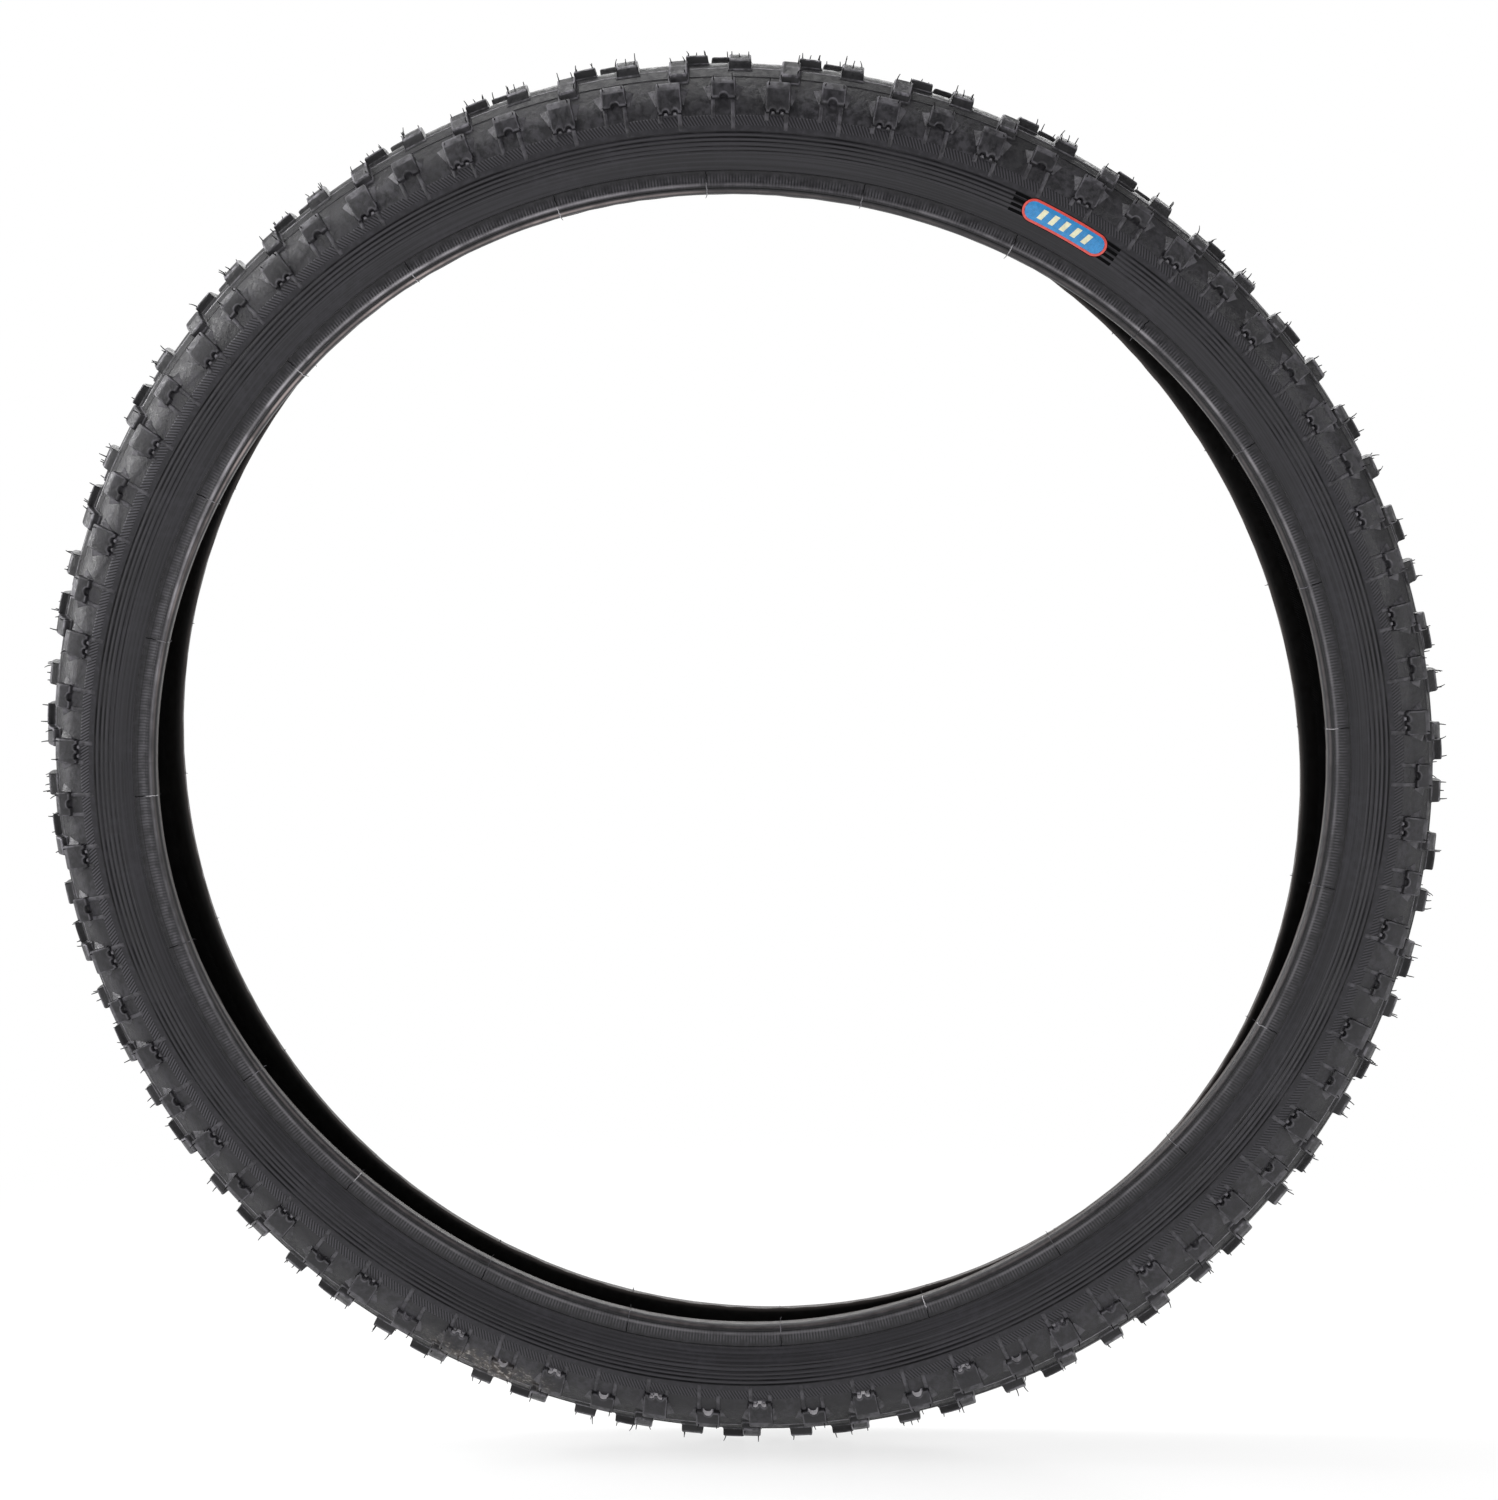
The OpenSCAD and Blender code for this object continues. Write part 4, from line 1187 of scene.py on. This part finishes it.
def meets_badge(degrees):
    return abs((degrees - BADGE_AT + 540) % 360 - 180) < 6


RIB_WIDTH, RIB_HEIGHT = 2.2, 0.5
LONG_RIB_PLACE, SHORT_RIB_PLACE = -4.3, 5.1


def buttress_ribs(side):
    """Raised lines, lighter on top as rub marks and painted highlight, that run down the sidewall from the
    knobs' lower corners.
    """
    shift = -SIDE_SHIFT if side == LEFT else 0
    long_end, short_end = SEAT + 30.5, SEAT + 35.5
    badge_top = SEAT + BADGE_H_AT + BADGE_H / 2 + 0.3
    ribs = []
    for i in range(REPEATS):
        high_at = PATTERN_START + i * PITCH
        low_at = high_at + LOW_KNOB_AT
        high_end, low_end = (
            badge_top if side == RIGHT and meets_badge(at) else long_end for at in (high_at, low_at)
        )
        ribs.append((high_at, SHORT_RIB_PLACE, HIGH_LOW + 0.6, short_end))
        ribs.append((high_at, LONG_RIB_PLACE, HIGH_LOW + 0.6, high_end))
        ribs.append((low_at, LONG_RIB_PLACE, LOW_LOW + 0.6, low_end))
        ribs.append((low_at, SHORT_RIB_PLACE, LOW_LOW + 0.6, max(SEAT + 34.5, low_end)))
    shapes = []
    for at, offset, top, low in ribs:
        u, radii, lift = rib_points(top, low, RIB_WIDTH, RIB_HEIGHT)
        angle = math.radians(at + shift) + (u + offset) / radii
        y = side_sign(side) * (skin_y(radii) + tread_edge_step(radii, angle, side) + lift)
        # Rib tops lighter: partly rub marks, partly painted highlight
        wear_and_painted_light = 0.42 * np.clip(lift / RIB_HEIGHT, 0, 1)
        shapes.append((radii, angle, y, wear_and_painted_light, tube_faces(*u.shape)))
    piece = joined_piece(f"buttress_lines_{side}", shapes, RUBBER)
    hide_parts(f"buttress_ribs_{side}")
    return blend_to_bead(piece)


def hair(r, y, turn, out, length, width, lean, wear_and_painted_light=-0.7):
    """A tapered hair of six sides. out is its direction in the section, lean its bend (across, round)."""
    rings, points = 5, 6
    t = np.linspace(0, 1, rings)[:, None]
    a = np.arange(points)[None, :] / points * 2 * math.pi
    radius = width / 2 * (1 - 0.45 * t)
    side_r, side_y = -out[1], out[0]
    along = t * length - 0.4 * (1 - t)
    bend = t ** 2 * length
    hair_r = r + out[0] * along + side_r * (radius * np.cos(a) + lean[0] * bend)
    hair_y = y + out[1] * along + side_y * (radius * np.cos(a) + lean[0] * bend)
    hair_turn = turn + (radius * np.sin(a) + lean[1] * bend) / r
    return hair_r, hair_turn, hair_y, wear_and_painted_light, tube_faces(rings, points)


def whiskers_on(spots, at, left_shift, chance):
    """Hairs on one kind of block, at (u, s, height) spots, with some missing as on a real tyre."""
    made = []
    for side in SIDES:
        shift = left_shift if side == LEFT else 0
        for i in range(REPEATS):
            for u, s, h in spots:
                present, length = rng.random() < chance, 1.4 + 2.6 * rng.random() ** 1.6
                lean = rng.normal(0, 0.2, 2)
                if not present:
                    continue
                turn = math.radians(PATTERN_START + at + shift + i * PITCH) + u / TREAD_R
                r, y = tread_place(s, h)
                a = s / BAND_R
                sign = side_sign(side)
                made.append(hair(r, sign * y, turn, (math.cos(a), sign * math.sin(a)), length, 0.72, lean))
    return made


def whiskers():
    corners = [(-4.0, -2.5, 4.2), (4.0, 1.5, 4.3), (-4.0, 3.5, 4.3), (-3.7, 7.0, 3.8), (3.6, 7.2, 3.8)]
    centre = whiskers_on(corners + [(3.9, -3.2, 4.1), (0.3, 5.5, 4.1)], CENTRE_AT, SIDE_SHIFT, 0.6)
    piece = joined_piece("centre_vent_hairs", centre, RUBBER)
    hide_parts("centre_whiskers")
    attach(piece, "tread")
    corners = [(3.2, 9.6, 3.8), (-3.3, 9.4, 3.8), (-3.2, 16.4, 3.1)]
    shoulder = whiskers_on(corners, TRANSITION_AT, -SIDE_SHIFT, 0.65)
    high_s, low_s = across_at(HIGH_TOP) + 1.6, across_at(LOW_TOP) + 1.6
    shoulder += whiskers_on([(-4.6, high_s, 4.4), (4.6, high_s, 4.4)], 0.0, -SIDE_SHIFT, 0.6)
    shoulder += whiskers_on([(-4.6, low_s, 4.4), (4.6, low_s, 4.4)], LOW_KNOB_AT, -SIDE_SHIFT, 0.6)
    piece = joined_piece("shoulder_vent_hairs", shoulder, RUBBER)
    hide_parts("shoulder_whiskers")
    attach(piece, "tread")


SEAMS = 24


def bead_seams(side):
    """Thin raised lines across the rim strip where the mould's segments met, each with a short hair."""
    sign = side_sign(side)
    made = []
    heel = heel_curve(np.array([180, 160, 140, 120, 100]))
    radii = spaced(SEAT + HEEL_R + 0.6, STRIP_TOP - 0.4, 1.0)
    face_y = np.where(radii < CORE_AT, HEEL_Y, wall_y(radii) + wall_t(radii))
    path = np.concatenate([heel, line(radii, face_y)])
    ahead = np.gradient(path, axis=0)
    ahead /= np.linalg.norm(ahead, axis=1, keepdims=True)
    outward = np.stack([-ahead[:, 1], ahead[:, 0]], -1)
    profile = np.array([(-0.26, -0.3), (-0.2, 0.12), (-0.07, 0.26), (0.07, 0.26), (0.2, 0.12), (0.26, -0.3)])
    for i in range(SEAMS):
        at = math.radians(3 + i * 360 / SEAMS + rng.normal(0, 0.35))
        wave = rng.normal(0, 0.12, len(path))[:, None]
        seam_r = path[:, :1] + outward[:, :1] * profile[None, :, 1]
        seam_y = path[:, 1:] + outward[:, 1:] * profile[None, :, 1]
        seam_turn = at + (profile[None, :, 0] + wave) / SEAT
        # Painted highlight on each seam near the heel, painted shade further out
        lit = rng.uniform(0.6, 2.0)
        wear_and_painted_light = (lit - 2.8 * smooth((seam_r - SEAT - 5) / 2)).clip(-0.9, 2.0)
        made.append((seam_r, seam_turn, sign * seam_y, wear_and_painted_light, tube_faces(*seam_r.shape)))
        toe_hair, heel_hair = rng.uniform(0.6, 2.2, 2)
        lean = rng.normal(0, 0.35, 4)
        toe_y = HEEL_Y - BEAD_W + 0.6
        made.append(hair(SEAT, sign * toe_y, at, (-0.95, -0.3 * sign), toe_hair, 0.5, lean[:2], 0.6))
        heel_place = sign * (HEEL_Y - 0.6)
        heel_out = (-0.8, 0.6 * sign)
        made.append(hair(SEAT + 1.0, heel_place, at, heel_out, heel_hair * 0.6, 0.45, lean[2:], 0.6))
    piece = joined_piece(f"mould_seams_{side}", made, RUBBER)
    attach(piece, f"bead_{side}")


# -------- badge

BADGE_AT = 59.5
BADGE_L = 45.5
BADGE_H = 12
BADGE_H_AT = 24.5
BADGE_T = 0.12


def badge_sheet(u, v, lift):
    """A thin sheet on the sidewall from a grid of (u, v) points, u along the tyre and v up the sidewall."""
    rows, cols = u.shape
    middle = SEAT + BADGE_H_AT
    turn = math.radians(BADGE_AT) - u / middle
    r = middle + v
    low = skin_y(r) + lift
    order = rim_order(rows, cols)
    rim = order[:, 0] * cols + order[:, 1]
    cell = grid_faces(rows, cols)
    faces = np.concatenate([cell[:, ::-1], band_faces(rim, rim + u.size), cell + u.size])
    return np.stack([r, r]), np.stack([turn, turn]), -np.stack([low + BADGE_T, low]), 0.0, faces


def pill_grid(length, height, columns=60, rows=9):
    """Grid points that fill a shape with straight long sides and half-round ends."""
    a = np.linspace(-1, 1, columns)
    half = (length - height) / 2
    x = a * length / 2
    over = np.maximum(np.abs(x) - half, 0)
    reach = np.sqrt(np.maximum((height / 2) ** 2 - over ** 2, 0.0))
    reach = np.maximum(reach, 0.02)
    v = np.linspace(-1, 1, rows)[None, :] * reach[:, None]
    return np.repeat(x[:, None], rows, axis=1), v


def pill_band(length, height, width, steps=120):
    """(u, v) of a pill-shaped band, three points across, spaced evenly along its outer edge."""
    straight, bend = length - height, math.pi * height / 2
    around = np.arange(steps) / steps * 2 * (straight + bend)
    sign = np.where(around < straight + bend, 1, -1)[:, None]
    along = (around % (straight + bend))[:, None]
    a = math.pi / 2 - np.maximum(along - straight, 0) / (height / 2)
    centre = np.minimum(along, straight) - straight / 2
    across = np.linspace(height / 2, height / 2 - width, 3)
    return sign * (centre + np.cos(a) * across), sign * np.sin(a) * across


def badge_piece(name, parts, colour, node):
    piece = joined_piece(name, parts, BADGE_COLOURS[colour], sharp=40)
    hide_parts(node)
    return blend_to_bead(piece)


def bar_grid(u0, u1, v0, v1, slant=0.0, columns=4, rows=6):
    u, v = np.meshgrid(np.linspace(u0, u1, columns), np.linspace(v0, v1, rows), indexing="ij")
    return u + slant * v, v


def badge():
    """A glossy film with four bars past each end, a red border, a blue field and five plain bars."""
    lift = 0.03
    film = [badge_sheet(*pill_grid(BADGE_L, BADGE_H), lift)]
    bar_h, bar_l, bar_step = 1.5, 5.5, 2.7
    for k in (-1.5, -0.5, 0.5, 1.5):
        v = k * bar_step
        reach = BADGE_L / 2 - BADGE_H / 2 + math.sqrt((BADGE_H / 2) ** 2 - v ** 2) - 0.6
        for sign in (-1, 1):
            ends = sorted((sign * reach, sign * (BADGE_L / 2 + bar_l)))
            film.append(badge_sheet(*bar_grid(*ends, v - bar_h / 2, v + bar_h / 2, columns=8), lift))
    badge_piece("badge_gloss_film", film, "black", "badge_film")

    border_lift = lift + BADGE_T + 0.03
    margin, border_w = 0.35, 1.15
    border = closed_strip(*pill_band(BADGE_L - 2 * margin, BADGE_H - 2 * margin, border_w), border_lift)
    badge_piece("badge_red_border", [border], "red", "badge_border")
    inset = 2 * (margin + border_w) + 0.1
    field = badge_sheet(*pill_grid(BADGE_L - inset, BADGE_H - inset), border_lift)
    badge_piece("badge_blue_field", [field], "blue", "badge_field")

    marks_lift = border_lift + BADGE_T + 0.03
    bar_half_w, bar_half_h = 1.3, 2.6
    marks = []
    for middle in range(-12, 13, 6):
        ends = (middle - bar_half_w, middle + bar_half_w)
        marks.append(badge_sheet(*bar_grid(*ends, -bar_half_h, bar_half_h, slant=0.3), marks_lift))
    badge_piece("badge_plain_bars", marks, "cream", "badge_marks")


def closed_strip(u, v, lift):
    """A thin band that closes on itself, from (steps, points) of its (u, v)."""
    rows, cols = u.shape
    middle = SEAT + BADGE_H_AT
    turn = math.radians(BADGE_AT) - u / middle
    r = middle + v
    base = skin_y(r) + lift
    section_r = np.concatenate([r, r[:, ::-1]], axis=1)
    section_turn = np.concatenate([turn, turn[:, ::-1]], axis=1)
    section_y = np.concatenate([base + BADGE_T, base[:, ::-1]], axis=1)
    return section_r, section_turn, -section_y, 0.0, loop_faces(rows, 2 * cols)


# -------- the tyre

for side in SIDES:
    plies(side)
    bead_filler(side)
    wire_bundle(side)
    rim_strip(side)
    bead_seams(side)
    sidewall(side)
    knurl_band(side)
    buttress_ribs(side)
tread_base()
tread_blocks()
whiskers()
badge()


# -------- stage, light and camera

def floor_material():
    """White floor that takes soft shadows near the tyre and runs out to plain white."""
    shader = Shader("floor_white")
    place = shader.node("ShaderNodeTexCoord").outputs["Object"]
    length = shader.node("ShaderNodeVectorMath", {0: place}, operation="LENGTH").outputs["Value"]
    faint = shader.noise(place, 3.0, 3.0)
    colour = shader.mix(faint, (0.90, 0.90, 0.90), (0.93, 0.93, 0.93))
    shader.finish(Base_Color=colour, Roughness=0.35, Specular_IOR_Level=0.3)
    far = shader.node("ShaderNodeEmission", {"Color": (1, 1, 1, 1), "Strength": 1.0}).outputs[0]
    mix = shader.node("ShaderNodeMixShader", {0: shader.between(length, 0.05, 0.8, 0.7, 1.0)})
    shader.links.new(shader.surface.outputs[0], mix.inputs[1])
    shader.links.new(far, mix.inputs[2])
    shader.links.new(mix.outputs[0], shader.nodes["Material Output"].inputs["Surface"])
    return shader.material


def stage(floor_z):
    size = 14.0
    corners = [(-size, -size, 0), (size, -size, 0), (size, size, 0), (-size, size, 0)]
    mesh = bpy.data.meshes.new("floor")
    mesh.from_pydata(corners, [], [(0, 1, 2, 3)])
    mesh.materials.append(floor_material())
    floor = bpy.data.objects.new("floor", mesh)
    bpy.context.scene.collection.objects.link(floor)
    floor.location = (0, 0, floor_z)
    floor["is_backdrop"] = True


def studio_world():
    """Plain white behind the tyre. Light and reflections come from a bright back and a dim front."""
    world = bpy.data.worlds.new("studio")
    bpy.context.scene.world = world
    world.use_nodes = True
    nodes, links = world.node_tree.nodes, world.node_tree.links
    seen = nodes.new("ShaderNodeLightPath").outputs["Is Camera Ray"]
    split = nodes.new("ShaderNodeSeparateXYZ")
    links.new(nodes.new("ShaderNodeTexCoord").outputs["Generated"], split.inputs[0])
    room = nodes.new("ShaderNodeMapRange")
    room.interpolation_type = "SMOOTHSTEP"
    room.inputs["From Min"].default_value = -0.2
    room.inputs["From Max"].default_value = 0.6
    room.inputs["To Min"].default_value = ROOM_FRONT
    room.inputs["To Max"].default_value = ROOM_BACK
    links.new(split.outputs["Y"], room.inputs["Value"])
    mix = nodes.new("ShaderNodeMix")
    mix.data_type = "FLOAT"
    links.new(seen, mix.inputs[0])
    links.new(room.outputs[0], mix.inputs[2])
    mix.inputs[3].default_value = 1.0
    background = nodes["Background"]
    links.new(mix.outputs[0], background.inputs["Strength"])
    background.inputs["Color"].default_value = (1, 1, 1, 1)


def soft_light(name, place, size, power):
    lamp = bpy.data.lights.new(name, "AREA")
    lamp.shape = "RECTANGLE"
    lamp.size, lamp.size_y = size
    lamp.energy = power
    lamp_object = bpy.data.objects.new(name, lamp)
    bpy.context.scene.collection.objects.link(lamp_object)
    lamp_object.location = place
    lamp_object.rotation_euler = (-Vector(place)).to_track_quat("-Z", "Y").to_euler()
    lamp_object.visible_camera = False


ROOM_FRONT, ROOM_BACK = 0.12, 0.8
CAMERA_DISTANCE = 2.2
CAMERA_TURN = math.radians(0.44)
CAMERA_RISE = math.radians(6.37)


def camera():
    data = bpy.data.cameras.new("camera")
    data.sensor_width = 36
    data.lens = 107.7
    data.shift_x, data.shift_y = 0.0045, 0.0061
    data.clip_start, data.clip_end = 0.05, 60
    back = Vector((
        math.sin(CAMERA_TURN) * math.cos(CAMERA_RISE),
        -math.cos(CAMERA_TURN) * math.cos(CAMERA_RISE),
        math.sin(CAMERA_RISE),
    ))
    made = bpy.data.objects.new("camera", data)
    bpy.context.scene.collection.objects.link(made)
    made.location = back * CAMERA_DISTANCE
    made.rotation_euler = (-back).to_track_quat("-Z", "Y").to_euler()
    bpy.context.scene.camera = made


low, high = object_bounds()
stage(low.z - 0.0005)
studio_world()
soft_light("overhead", (-0.4, 0.3, 2.4), (1.6, 1.6), 38)
soft_light("front_left", (-2.4, -2.2, 1.2), (1.1, 1.6), 40)
soft_light("front_right", (2.5, -2.1, 0.9), (1.0, 1.6), 30)
soft_light("back", (0.3, 2.4, 1.3), (2.2, 0.8), 22)
soft_light("left", (-2.7, 0.3, 1.1), (0.45, 2.2), 85)
camera()
bpy.context.scene.view_settings.view_transform = "Standard"

low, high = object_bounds()
